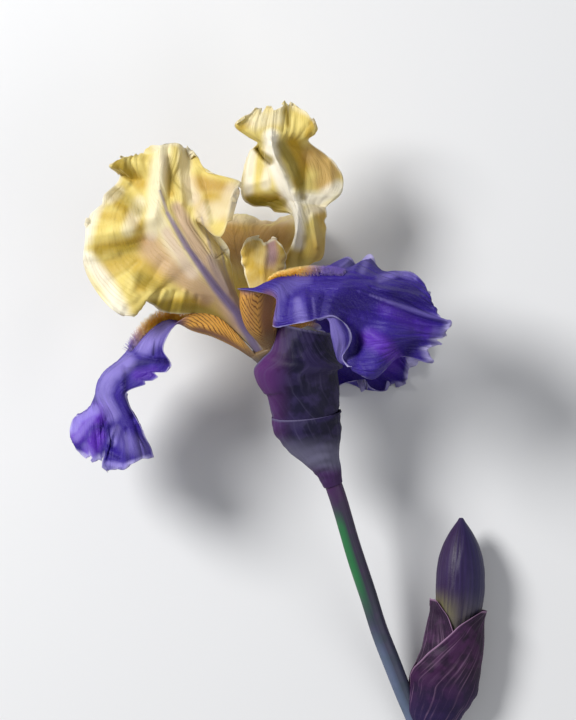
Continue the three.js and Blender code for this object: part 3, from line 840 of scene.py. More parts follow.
def mask(piece, name, values):
    """Stores a value from 0 to 1 at each point of a piece, for its skin to read."""
    layer = piece.data.attributes.new(name, "FLOAT", "POINT")
    layer.data.foreach_set("value", np.clip(values, 0, 1).astype(np.float32))


def brushed(piece, strokes):
    """A soft brush mask on a petal, seen from above. A stroke is its points in mm from the heart, the
    brush's reach at its start and end, and its strength. It fades where the petal stands upright."""
    count = len(piece.data.vertices)
    place = np.empty(count * 3)
    piece.data.vertices.foreach_get("co", place)
    place = ((place.reshape(-1, 3) - HEART) / MM)[:, :2]
    facing = np.empty(count * 3)
    piece.data.vertices.foreach_get("normal", facing)
    level = ease(0.08, 0.4, np.abs(facing.reshape(-1, 3)[:, 2]))
    covered = np.zeros(count)
    for points, start, end, strength in strokes:
        covered = np.maximum(covered, strength * ease(1, 0.2, brush(place, points, start, end)))
    return covered * level


# Petal veins: they leave the midrib at a slant and run out to the rim, a little unevenly. The petals and the
# style have them, fine and faint, and the falls' hafts have coarse brown ones.
veins, veins_in, veins_out = new_group("petal_veins", ["Count", "Slant", "Wobble", "Width"], ["Veins"])
across = axis_of(veins, skin_map(veins), "X")
along = axis_of(veins, skin_map(veins), "Y")
off_midrib = away_from(veins, across, 0.5)
drift = calc(veins, "MULTIPLY", noise(veins, skin_map(veins), 7.0, 3.0), veins_in.outputs["Wobble"])
phase = calc(veins, "MULTIPLY", off_midrib, veins_in.outputs["Count"])
phase = calc(veins, "SUBTRACT", phase, calc(veins, "MULTIPLY", along, veins_in.outputs["Slant"]))
phase = calc(veins, "ADD", phase, drift)
wave = calc(veins, "ABSOLUTE", calc(veins, "SINE", calc(veins, "MULTIPLY", phase, math.pi)))
veins.links.new(between(veins, wave, veins_in.outputs["Width"], 0.0), veins_out.inputs["Veins"])


def painted(tree, label):
    """Reads a piece's mask."""
    return node(tree, "Attribute", attribute_name=label).outputs["Fac"]


def vein_lines(tree, count, slant, wobble, width):
    inputs = {"Count": count, "Slant": slant, "Wobble": wobble, "Width": width}
    return node(tree, "Group", inputs, node_tree=veins).outputs["Veins"]


def petal_skin(name, ground, paints, vein_tint, haft_vein=None):
    """Petal skin: painted masks over a ground colour, fine veins, glistening cells, light coming through.
    The paints are pairs of a mask's name and its colour, from the lowest coat up."""
    material, tree = new_skin(name)
    fine, blotches = plant_cells(tree, fine=2400.0, coarse=90.0)
    tint = mixed(tree, calc(tree, "MULTIPLY", blotches, 0.22), ground, paints[0][1])
    for label, code in paints:
        tint = mixed(tree, painted(tree, label), tint, code)
    lines = vein_lines(tree, count=54.0, slant=12.0, wobble=4.0, width=0.5)
    faded = between(tree, noise(tree, skin_map(tree), 11.0), 0.35, 0.65, 0.15, 1.0)
    lines = calc(tree, "MULTIPLY", lines, faded)
    tint = mixed(tree, calc(tree, "MULTIPLY", lines, 0.2), tint, vein_tint)
    if haft_vein:
        chevrons = vein_lines(tree, count=15.0, slant=46.0, wobble=2.4, width=0.85)
        faded = between(tree, noise(tree, skin_map(tree), 9.0), 0.3, 0.6, 0.5, 0.95)
        chevrons = calc(tree, "MULTIPLY", chevrons, faded)
        # The brown band of the haft, partly painted shade, hides the chevron veins.
        bare = calc(tree, "SUBTRACT", 1.0, painted(tree, "umber_and_shade"))
        chevrons = calc(tree, "MULTIPLY", chevrons, between(tree, bare, 0.15, 0.7))
        chevrons = calc(tree, "MULTIPLY", chevrons, painted(tree, "haft"))
        tint = mixed(tree, chevrons, tint, haft_vein)
    tint = mixed(tree, between(tree, fine, 0.5, 0.1, 0.0, 0.05), tint, CELL_GLINT)
    height = calc(tree, "ADD", calc(tree, "MULTIPLY", lines, -0.4), calc(tree, "MULTIPLY", fine, 0.4))
    roughness = between(tree, blotches, 0.0, 1.0, 0.42, 0.56)
    finish_skin(tree, tint, roughness, height, depth=0.00026, glow=0.3)
    return material


def petal(name, ribs, ruffles, crimp, seed, folds, notches, tip_notches):
    """Makes a petal with its two faces and its rim mask. Gives its surface too, for what stands on it."""
    surface = lofted(ribs, petal_lift(ruffles, crimp, seed), folds)
    piece = sheet(name + "_petal", [(*PETAL_STEPS, scalloped(surface, seed, notches, tip_notches))])
    u, v = steps_of(*PETAL_STEPS)
    edge = np.minimum(np.minimum(v, 1 - v) * 1.6, (1 - u) * 1.6)
    thicken(piece, PETAL_THICKNESS, PETAL_RIM_SHARE, ease(0, 0.12, edge))
    uneven = 0.6 + 0.4 * np.sin(31 * u + 17 * v + seed) * np.sin(13 * u - 23 * v)
    mask(piece, "rim", 0.85 * uneven * ease(0.045, 0.0, edge) * ease(0.1, 0.25, u))
    return piece, surface


# Each petal: its ribs, its ruffles, how high its crimps are in millimetres, and the seed of its small waves.
FALLS = {
    "fall_left": (LEFT_FALL, [dict(height=1.4, waves=8, focus=0.6, start=0.6, clear=0.5)], 0.5, 3),
    "fall_right": (RIGHT_FALL, [dict(height=1.2, waves=9, focus=0.6, start=0.6, clear=0.5)], 0.5, 5),
    "fall_back": (BACK_FALL, [dict(height=2.6, waves=9, focus=0.55, start=0.5, clear=0.45)], 0.6, 8),
}
FALL_FOLDS = {
    "fall_left": [
        ([(-45.3, 2), (-45.8, -4)], 1.6, 1.2, -1.3),
        ([(-47, 7), (-52, 3), (-56, -2)], 1.2, 1.0, -0.7),
        ([(-39, -6), (-46, -5.5), (-51, -4), (-57, -3.5)], 1.8, 1.6, -2.0),
        ([(-40, -10), (-45, -10), (-52, -11)], 3.0, 3.0, 1.6),
        ([(-48, -8), (-57, -9), (-57, -20), (-54, -29)], 2.5, 2.5, -2.2),
        ([(-62, -9), (-65, -17), (-62, -27), (-59, -33)], 4.0, 3.0, 1.0),
        ([(-65, -29), (-69, -38), (-68, -47)], 4.5, 5.5, -2.2),
        ([(-70, -25), (-79, -30)], 1.6, 1.8, 0.6),
        ([(-69, -29), (-80, -34)], 1.6, 1.8, 0.6),
        ([(-61, -32), (-65.5, -41)], 2.2, 2.4, 1.8),
        ([(-66, -42), (-60, -45)], 2.2, 2.2, 1.8),
        ([(-57, -34), (-56, -49)], 1.6, 2.0, -0.9),
        ([(-53, -33), (-50, -47)], 1.6, 2.0, -0.8),
    ],
    "fall_right": [
        ([(38, 22), (48, 18), (58, 14.5), (66, 12), (74, 10)], 1.0, 3.0, 2.0),
        ([(42, 23.5), (58, 18), (67, 16)], 1.0, 3.5, -1.6),
        ([(26, 16), (38, 11), (50, 9), (62, 7)], 0.6, 2.2, 1.2),
        ([(22, 19), (34, 15), (46, 13), (60, 10.5)], 0.6, 2.4, -1.2),
        ([(20, 26), (34, 27), (48, 26.5), (60, 27)], 0.6, 2.4, -1.2),
        ([(24, 23), (38, 23.5), (52, 22), (64, 20)], 0.6, 2.2, 1.0),
        ([(4, 10), (4, 19), (-9, 23)], 2.0, 1.2, 0.8),
        ([(9, 11), (10, 20)], 2.5, 2.0, -0.9),
        ([(17, 9), (16, 21)], 3.0, 2.4, 1.4),
        ([(22, 11), (24, 21)], 3.0, 3.0, -1.0),
        ([(32, 10), (37, 4), (37, -3)], 3.5, 3.0, -2.2),
        ([(42, 5), (49, 1), (54, -4)], 4.5, 4.0, 2.0),
        ([(56, -1), (56, -14)], 3.0, 3.0, -1.4),
        ([(37, -5), (41, -12)], 1.6, 1.6, 1.4),
        ([(49, -7), (52, -11)], 1.5, 1.5, 1.2),
        ([(66, 3), (69, -5)], 3.0, 3.0, 1.2),
        ([(60, 6), (72, 3)], 3.0, 3.0, -1.2),
        ([(29, 31), (36, 36)], 2.0, 2.0, 1.3),
        ([(36, 31), (39, 37)], 2.0, 2.0, 1.3),
        ([(45, 28), (56, 30), (66, 28)], 3.0, 3.0, 1.2),
        ([(46, 25), (62, 22)], 4.0, 5.0, -1.4),
        ([(14, 26), (36, 25), (50, 22)], 3.5, 4.0, 0.8),
        ([(18, 22), (32, 18), (46, 13)], 4.5, 5.0, -1.1),
        ([(40, 10), (54, 8), (66, 5)], 4.0, 4.0, 1.0),
    ],
    "fall_back": [
        ([(22, 10), (40, 4), (60, -6)], 4.0, 5.0, 1.2),
        ([(30, 20), (50, 12)], 4.0, 4.0, 0.8),
    ],
}
FALL_NOTCHES = {
    "fall_left": (
        [(0, 0.592, 0.015, 0.08), (0, 0.64, 0.012, 0.05), (1, 0.8, 0.02, 0.05)],
        [(0.62, 0.05, 0.03), (0.85, 0.03, 0.03)],
    ),
    "fall_right": (
        [(1, 0.571, 0.016, 0.05), (0, 0.842, 0.015, 0.05), (0, 0.884, 0.015, 0.05)],
        [(0.35, 0.05, 0.03)],
    ),
    "fall_back": ([], []),
}
FALL_STROKES = {
    "fall_left": {
        # Paler lavender of the underside, with painted sheen on the arch.
        "pale": [
            ([(-42, 8), (-46, 3), (-50, 0)], 6, 6, 0.65),
            ([(-57, -6), (-64, -12), (-67, -20), (-63, -28)], 6, 5, 0.65),
            ([(-61, -34), (-62.5, -39)], 3.0, 3.2, 0.7),
            ([(-57, -39), (-51, -42)], 6, 6, 0.35),
            ([(-65, -48), (-58, -49), (-48, -45)], 1.6, 1.6, 0.6),
            ([(-70, -26), (-77, -30), (-79, -34)], 4, 3.5, 0.75),
            ([(-71, -29), (-78, -38)], 2.5, 2.5, 0.4),
            ([(-74, -41), (-70, -46)], 2.5, 2.5, 0.35),
        ],
        # Vivid violet, with painted light on the lit lobes and the flap.
        "vivid_and_lit": [
            ([(-68, -27), (-75, -30), (-78, -36)], 7, 6, 0.9),
            ([(-69, -37), (-72, -43)], 5, 5, 0.9),
            ([(-46, -11), (-52, -12)], 4, 4, 0.4),
        ],
        # Painted shade: dark violet along fold valleys, beside the flaps and in the throat, where shade
        # falls.
        "painted_shade": [
            ([(-63.5, -32.5), (-67.5, -41)], 1.6, 1.6, 0.55),
            ([(-68, -34), (-69, -45)], 4, 4.5, 0.4),
            ([(-66, -43.5), (-60, -46)], 0.9, 0.9, 0.6),
            ([(-39, -6.5), (-46, -6), (-53, -7.5), (-57, -11), (-57, -20), (-54, -28)], 2.2, 2.6, 0.8),
            ([(-45.3, 1.5), (-45.8, -3.5)], 1.1, 1.1, 1.0),
            ([(-47, 7), (-52, 3), (-56, -1.5)], 0.8, 0.8, 0.8),
            ([(-57, -36), (-56, -48)], 1.4, 1.6, 0.6),
            ([(-53, -35), (-50, -46)], 1.2, 1.4, 0.5),
        ],
        # Brown of the haft's lower band, darkened as painted shade.
        "umber_and_shade": [([(-37, 5.5), (-27, 6.5), (-17, 3), (-9, -2.5)], 2.8, 2.0, 0.8)],
    },
    "fall_right": {
        # Paler lavender of the turned-under rim, with painted highlights along lit ridges and lobe edges.
        "pale": [
            ([(4, 20), (9, 24), (16, 27)], 5, 4, 0.25),
            ([(13, 18), (14.5, 11)], 2.5, 4, 0.4),
            ([(19, 19), (20, 10)], 0.8, 1.2, 0.2),
            ([(5, 19), (4, 11)], 1.4, 2.4, 0.35),
            ([(26, 9), (29, 4), (31, -5)], 5, 3, 0.55),
            ([(42, 20.5), (52, 17), (62, 13.5), (73, 10.5)], 0.3, 2.0, 0.3),
            ([(30, 31), (36, 36)], 2.0, 2.0, 0.4),
            ([(39, 30), (41, 35)], 2.0, 2.0, 0.35),
            ([(46, 27), (54, 29.5), (60, 28)], 2.4, 2.4, 0.4),
            ([(67, -3), (69, 6)], 3.0, 3.0, 0.25),
        ],
        # Vivid violet, with painted light on the lit lower lobes.
        "vivid_and_lit": [([(42, 3), (49, -1), (52, -5)], 6, 5, 0.7), ([(48, 15), (58, 10), (66, 6)], 5, 5, 0.25)],
        # Painted shade: dark violet in the hollows and under the lobes, where shade falls.
        "painted_shade": [
            ([(22, 16), (30, 17), (42, 20), (60, 20)], 8, 6, 0.7),
            ([(38, 4), (36, -4), (34, -14)], 3, 3, 0.7),
            ([(50, 21), (60, 18), (67, 16)], 2.5, 3, 0.6),
            ([(60, 1), (54, -12)], 3, 3, 0.5),
        ],
        # Brown at the mouth of the throat, darkened as painted shade.
        "umber_and_shade": [([(1, 4), (0, 12), (1, 19)], 4.5, 5, 0.8), ([(-6, 8), (-6, 18)], 3.5, 4, 0.35)],
    },
    "fall_back": {
        "pale": [([(60, -14), (61, 0)], 3, 3, 0.4)],
        "vivid_and_lit": [([(52, -6), (44, 10)], 8, 8, 0.4)],
        "painted_shade": [([(20, 10), (30, 6)], 9, 9, 0.5)],
        "umber_and_shade": [],
    },
}
# Where the haft's gold starts to fade along each petal and where it ends, and the same for the brown foot.
HAFT_ENDS = {"fall_left": (0.27, 0.36), "fall_right": (0.204, 0.279), "fall_back": (0.3, 0.45)}
FOOT_ENDS = (0.01, 0.11)

fall_skin = petal_skin(
    "fall_skin",
    ground="3c2598",
    paints=[
        # painted shade: the dark violet coat
        ("painted_shade", "24126c"),
        # vivid violet and painted light
        ("vivid_and_lit", "6c34c4"),
        # paler underside colour, and painted highlights and sheen
        ("pale", "a89ae8"),
        ("rim", "dcd5fb"),
        ("haft", "f0b650"),
        # brown, with painted shade
        ("umber_and_shade", "8a5548"),
        ("foot", "8a7350"),
    ],
    vein_tint="2e1c84",
    haft_vein="702f1e",
)
fall_surfaces = {}
up_petal = steps_of(*PETAL_STEPS)[0]
for name, (ribs, ruffles, crimp, seed) in FALLS.items():
    cuts = FALL_NOTCHES[name]
    fall, fall_surfaces[name] = petal(name, ribs, ruffles, crimp, seed, FALL_FOLDS[name], *cuts)
    for label, strokes in FALL_STROKES[name].items():
        mask(fall, label, brushed(fall, strokes))
    begin, end = HAFT_ENDS[name]
    mask(fall, "haft", ease(end, begin, up_petal))
    begin, end = FOOT_ENDS
    mask(fall, "foot", ease(end, begin, up_petal))
    fall.data.materials.append(fall_skin)
    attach(fall, "root")
    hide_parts(name)


# Beards: on the midline of each fall stands a dense brush of soft, fleshy hairs. They are gold with cream
# tips in the throat and pale violet at the outer end, and they grow out of the petal.
HAIR_COUNT = 1300
BEARD_HALF_WIDTH = 0.075
SHORTEST_HAIR = 1.2
ROOT_HEIGHT = 0.1
HAIR_ROOT_RADIUS = 0.13
HAIR_TIP_RADIUS = 0.035
HAIR_GOLD = "ffae26"
HAIR_YELLOW = "ffd85c"
HAIR_CREAM = "fff0b0"
HAIR_LILAC = "c2b0de"
HAIR_VIOLET = "6e54b8"
# Each beard: its fall, where it starts and ends along it and lies across it, the face that it stands on,
# how long its longest hairs are in millimetres, how much sooner it turns pale, and its seed.
BEARDS = {
    "beard_left": ("fall_left", 0.25, 0.53, 0.5, 1, 4.5, 0.0, 11),
    "beard_right": ("fall_right", 0.269, 0.596, 0.62, -1, 2.0, 0.3, 12),
    "beard_back": ("fall_back", 0.37, 0.67, 0.5, -1, 3.5, 0.1, 13),
}

one_hair = bmesh.new()
bmesh.ops.create_cone(
    one_hair, cap_ends=True, segments=3, radius1=HAIR_ROOT_RADIUS, radius2=HAIR_TIP_RADIUS, depth=1.0
)
bmesh.ops.translate(one_hair, verts=one_hair.verts, vec=(0, 0, 0.5))
uprights = [edge for edge in one_hair.edges if abs(edge.verts[0].co.z - edge.verts[1].co.z) > 0.5]
bmesh.ops.subdivide_edges(one_hair, edges=uprights, cuts=2)
bmesh.ops.triangulate(one_hair, faces=one_hair.faces)
hair_shape = np.array([vert.co for vert in one_hair.verts])
hair_mesh = bpy.data.meshes.new("one_hair")
one_hair.to_mesh(hair_mesh)
one_hair.free()

beard_hair, tree = new_skin("beard_hair")
tip = painted(tree, "tip")
gold = mixed(tree, painted(tree, "own_tone"), HAIR_GOLD, HAIR_YELLOW)
gold = mixed(tree, between(tree, tip, 0.5, 1.0, 0.0, 0.5), gold, HAIR_CREAM)
cool = mixed(tree, tip, HAIR_LILAC, HAIR_VIOLET)
tint = mixed(tree, between(tree, painted(tree, "outer_end"), 0.68, 1.0), gold, cool)
height = noise(tree, object_place(tree), 2500.0)
finish_skin(tree, tint, 0.6, height, depth=0.00005, glow=0.1)

for name, (fall_name, start, end, middle, face, longest, paling, seed) in BEARDS.items():
    draw = np.random.default_rng(seed)
    reach = draw.uniform(0, 1, HAIR_COUNT)
    offset = draw.uniform(-1, 1, HAIR_COUNT)
    surface = fall_surfaces[fall_name]
    u = start + (end - start) * reach
    v = middle + offset * BEARD_HALF_WIDTH * (1.1 - 0.6 * reach)
    root = surface(u, v)
    up = normal_of(surface, u, v) * face
    along_way = surface(u + 0.01, v) - root
    along_way /= np.linalg.norm(along_way, axis=-1, keepdims=True)
    sideways = np.cross(up, along_way)
    full = np.sin(math.pi * (0.08 + 0.84 * reach)) ** 0.4 * (1 - 0.45 * offset**2)
    length = (SHORTEST_HAIR + longest * full) * draw.uniform(0.8, 1.0, HAIR_COUNT)
    slant = along_way * draw.uniform(-0.35, 0.15, HAIR_COUNT)[:, None]
    lean = up + sideways * (0.45 * offset)[:, None] + slant
    lean += draw.normal(0, 0.12, (HAIR_COUNT, 3))
    lean /= np.linalg.norm(lean, axis=-1, keepdims=True)
    curl = along_way * draw.uniform(-0.35, 0.1, HAIR_COUNT)[:, None]
    across_hair = np.cross(lean, along_way)
    across_hair /= np.linalg.norm(across_hair, axis=-1, keepdims=True)
    beside = np.cross(across_hair, lean)
    bristles = bmesh.new()
    for _ in range(HAIR_COUNT):
        bristles.from_mesh(hair_mesh)
    x, y, z = hair_shape.T
    points = root[:, None] + up[:, None] * ROOT_HEIGHT
    points = points + lean[:, None] * (length[:, None] * z)[..., None]
    points = points + curl[:, None] * (length[:, None] * z**2)[..., None]
    points = points + across_hair[:, None] * x[None, :, None] + beside[:, None] * y[None, :, None]
    for vert, point in zip(bristles.verts, HEART + points.reshape(-1, 3) * MM):
        vert.co = point
    mesh = bpy.data.meshes.new(name + "_hairs")
    bristles.to_mesh(mesh)
    bristles.free()
    mesh.shade_smooth()
    beard = bpy.data.objects.new(name + "_hairs", mesh)
    bpy.context.collection.objects.link(beard)
    mask(beard, "tip", np.tile(z, HAIR_COUNT))
    mask(beard, "outer_end", np.repeat(reach + paling, len(z)))
    mask(beard, "own_tone", np.repeat(draw.uniform(0, 1, HAIR_COUNT), len(z)))
    beard.data.materials.append(beard_hair)
    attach(beard, "root")
    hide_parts(name)


# Standards: the three upright petals, thin, pleated and ruffled, which grow from the tube between the falls.
# They are pale gold with cream rims, and the left one has a purple-grey midrib.
# Their hollows carry painted shade of deeper gold, olive and tan, and their lit folds painted highlights of
# cream.
LEFT_STANDARD = [
    foot(216, 268, 5.6, -1.5),
    [(-13.5, 6.8, 4.5), (-12.5, 10, 10), (-10, 10.5, 11), (-8, 11, 10.5), (-7, 12, 9)],
    [(-24, 12.5, 8), (-21, 18.5, 15), (-17, 20.5, 16), (-14.5, 21.5, 15), (-12.5, 23, 12)],
    [(-41, 13.5, 13), (-32, 20, 19), (-24.5, 29.5, 21), (-18.5, 31, 18), (-14, 32, 13)],
    [(-51, 19, 19), (-39, 25, 20.5), (-27, 34, 22.5), (-20.5, 36, 20), (-15, 36, 13.5)],
    [(-57, 12, 23), (-45, 26, 22), (-31, 39, 24), (-23.5, 41, 21), (-17, 40, 14)],
    [(-72, 29, 17), (-54, 37, 19), (-37, 48, 25), (-30, 50, 24), (-24.5, 50, 17)],
    [(-74, 45, 20), (-57, 49, 26), (-40, 54.5, 25), (-29, 56, 22), (-17, 43.5, 30)],
    [(-69.5, 59, 17), (-56, 58, 18), (-42, 61.5, 24), (-28, 61, 21), (-12.7, 59.5, 28)],
    [(-60, 69, 12), (-51, 67.5, 17), (-43.5, 68, 24), (-33, 67, 19), (-11, 66.5, 25)],
    [(-63, 73, 24), (-53, 74, 21), (-42.5, 75, 23), (-33, 75, 18), (-24, 71, 21)],
    [(-59, 76, 22), (-51, 78, 16), (-42, 81.5, 21), (-33, 82, 15), (-29.5, 76, 19)],
]
RIGHT_STANDARD = [
    foot(-16, 26, 5.3, -1.5),
    [(6, 14, 4), (8, 12.5, 2.5), (9, 12.5, 0), (8.5, 13.5, -3), (7, 15, -5)],
    [(4, 28, 4), (8, 27, 3), (12, 27, -1), (14, 29, -6), (14, 32, -10)],
    [(8.5, 37, 3), (11, 39, 3.5), (14, 40, 0), (21, 38, -3), (23, 36, -9)],
    [(12, 46, 3), (12.5, 47.5, 4), (14, 48, 3), (19.5, 48, 0), (24.5, 46, -4)],
    [(10.5, 54, 1), (11, 55, 3), (12.5, 55.5, 4), (17.5, 55, 3), (25.5, 55, -1)],
    [(2, 55, -3), (6.5, 60, 2), (10.5, 61, 5), (16, 60, 3), (25, 57.5, 1)],
    [(-9, 60, -1), (-1, 64, 4), (8.5, 67, 7), (18, 65.5, 0), (31, 64, -4)],
    [(-9, 73, 2), (-2, 73, 4), (6, 73, 8), (16, 73, -1), (31, 71, -7)],
    [(-6, 80, -1), (-1.5, 79, 3), (3.5, 78.5, 7), (13, 79, -1), (25, 78.5, -5)],
    [(-5, 83, 4), (-1.5, 83, 6), (2.5, 83, 8), (9, 83.5, 4), (18, 84, 1)],
    [(-13, 89, 9), (-5, 88, 9), (3, 88.5, 10), (11, 88, 9), (20.5, 88, 8)],
    [(-8, 94, 12), (-2, 97, 9), (4, 98, 13), (11, 98.5, 8), (19, 93.5, 12)],
]
BACK_STANDARD = [
    foot(146, 104, 5.4, -1.5),
    [(-9.5, 12, -5), (-9, 12, -7), (-7.5, 12, -8.5), (-5.5, 12.5, -9.3), (-4, 13, -9.5)],
    [(-22, 24, -9), (-17, 27, -14), (-9.5, 29, -17), (-2, 29, -18), (4, 30, -16)],
    [(-33, 36, -16), (-25, 39, -26), (-13, 41, -31), (-1, 42, -30), (11, 42, -22)],
    [(-39, 48, -29), (-30, 50, -41), (-14, 50, -44), (2, 50, -41), (16, 50, -31)],
    [(-37, 58, -41), (-29, 57, -50), (-12, 54, -51), (1, 54, -49), (14, 55, -39)],
]
STANDARDS = {
    "standard_left": (
        LEFT_STANDARD,
        [dict(height=1.6, waves=7, focus=0.45, start=0.55)],
        0.45,
        21,
    ),
    "standard_right": (
        RIGHT_STANDARD,
        [dict(height=0.7, waves=9, focus=0.6, start=0.6, clear=0.5)],
        0.25,
        22,
    ),
    "standard_back": (
        BACK_STANDARD,
        [dict(height=1.8, waves=8, focus=0.45, start=0.45, phase=1.0)],
        0.5,
        23,
    ),
}
STANDARD_FOLDS = {
    "standard_left": [
        ([(-14, 16), (-25, 29), (-34, 43), (-44, 64)], 2.6, 1.8, 0.9),
        ([(-68, 40), (-57, 41), (-49, 43)], 3.5, 3.5, -1.1),
        ([(-71, 45), (-60, 46), (-52, 48)], 3.2, 3.5, 0.8),
        ([(-62, 15), (-58, 25), (-50, 33)], 5.5, 5.0, 1.6),
        ([(-51, 21), (-46, 27), (-42, 34)], 3.5, 4.0, -1.6),
        ([(-63, 61), (-56, 56), (-50, 47)], 4.5, 5.0, -1.9),
        ([(-63, 72), (-56, 66.5)], 2.6, 2.6, 2.6),
        ([(-57, 67.5), (-50, 60)], 2.6, 2.2, 1.2),
        ([(-64, 67), (-58, 63)], 2.8, 2.8, -2.6),
        ([(-59, 64), (-51, 55)], 2.8, 2.4, -1.2),
        ([(-57, 77), (-50, 68)], 3.0, 3.0, -1.0),
        ([(-45, 52), (-43, 66), (-43, 81)], 4.0, 3.5, 1.3),
        ([(-39, 60), (-39, 70), (-40, 80)], 3.0, 3.0, -1.7),
        ([(-34, 58), (-35, 72), (-35, 84)], 3.0, 3.0, 1.4),
        ([(-30, 60), (-31, 72), (-31, 82)], 2.4, 2.4, -1.2),
        ([(-26, 70), (-23, 60), (-22, 54)], 3.0, 2.5, -1.2),
        ([(-13, 65), (-15, 54), (-17, 45)], 3.0, 2.4, 1.2),
        ([(-23, 42), (-18, 38), (-15, 34)], 2.4, 2.0, 1.2),
        ([(-28, 54), (-22, 38), (-15, 22)], 3.0, 2.4, 0.8),
        ([(-45, 15), (-41, 22)], 2.4, 2.0, 1.8),
        ([(-40, 13), (-37, 22)], 2.0, 2.0, -1.8),
        ([(-35, 13), (-33, 22)], 2.2, 1.8, 1.6),
        ([(-30, 13), (-28, 20)], 2.0, 1.8, -1.4),
        ([(-55, 18), (-50, 22)], 2.4, 2.2, 1.6),
        ([(-59, 14), (-55, 22), (-52, 29)], 2.0, 2.6, 1.4),
        ([(-64, 26), (-57, 29), (-52, 34)], 2.0, 2.4, -1.4),
        ([(-74, 36), (-66, 36), (-60, 38)], 2.2, 2.4, 1.2),
        ([(-74, 50), (-67, 49), (-60, 51)], 2.0, 2.4, -1.3),
        ([(-70, 56), (-64, 55), (-58, 55)], 2.0, 2.4, 1.2),
        ([(-20, 36), (-17, 38.5)], 1.2, 1.2, -1.2),
    ],
    "standard_right": [
        ([(13, 47), (13, 57), (8, 68), (3, 78), (2, 85)], 5.0, 4.5, 2.2),
        ([(17, 81), (15, 67)], 4.5, 4.5, -2.0),
        ([(-4, 58), (5, 60)], 3.5, 3.5, -1.6),
        ([(-3.5, 81), (-1, 77), (2, 74.5)], 1.8, 1.6, -3.4),
        ([(2.5, 82), (4, 76), (8, 70)], 2.0, 2.0, 1.6),
        ([(26, 76), (27, 66)], 4.5, 4.0, 1.2),
        ([(10, 59.5), (16, 58.5), (26, 57.5)], 2.4, 2.4, -0.5),
        ([(12, 63), (20, 61.5), (30, 62)], 2.4, 2.6, 1.6),
        ([(-8, 66), (0, 68)], 3.0, 3.0, 1.4),
        ([(3, 86), (-3, 95)], 2.4, 3.4, 0.9),
        ([(7, 88), (8, 98)], 1.6, 2.2, -0.9),
        ([(10, 86), (13, 98)], 2.0, 3.0, 0.6),
        ([(14, 86), (19, 92)], 1.8, 2.2, -0.8),
        ([(20, 58), (27, 53)], 3.0, 3.0, -1.3),
        ([(19, 53), (21, 41)], 2.2, 1.8, 1.4),
        ([(13, 36), (15, 43)], 5.0, 4.0, -1.6),
    ],
    "standard_back": [
        ([(-24, 30), (-31, 50)], 4.0, 5.0, 1.2),
        ([(-8, 28), (-8, 52)], 4.0, 4.0, 1.0),
        ([(4, 30), (6, 52)], 3.0, 4.0, -1.0),
    ],
}
STANDARD_NOTCHES = {
    "standard_left": (
        [
            (0, 0.725, 0.03, 0.05),
            (0, 0.31, 0.02, 0.05),
            (0, 0.27, 0.016, 0.04),
            (1, 0.6, 0.034, 0.045),
        ],
        [],
    ),
    "standard_right": (
        [
            (0, 0.83, 0.03, 0.08),
            (0, 0.52, 0.03, 0.06),
            (1, 0.375, 0.02, 0.06),
            (1, 0.285, 0.02, 0.06),
        ],
        [(0.3, 0.04, 0.03), (0.68, 0.03, 0.03)],
    ),
    "standard_back": ([], []),
}
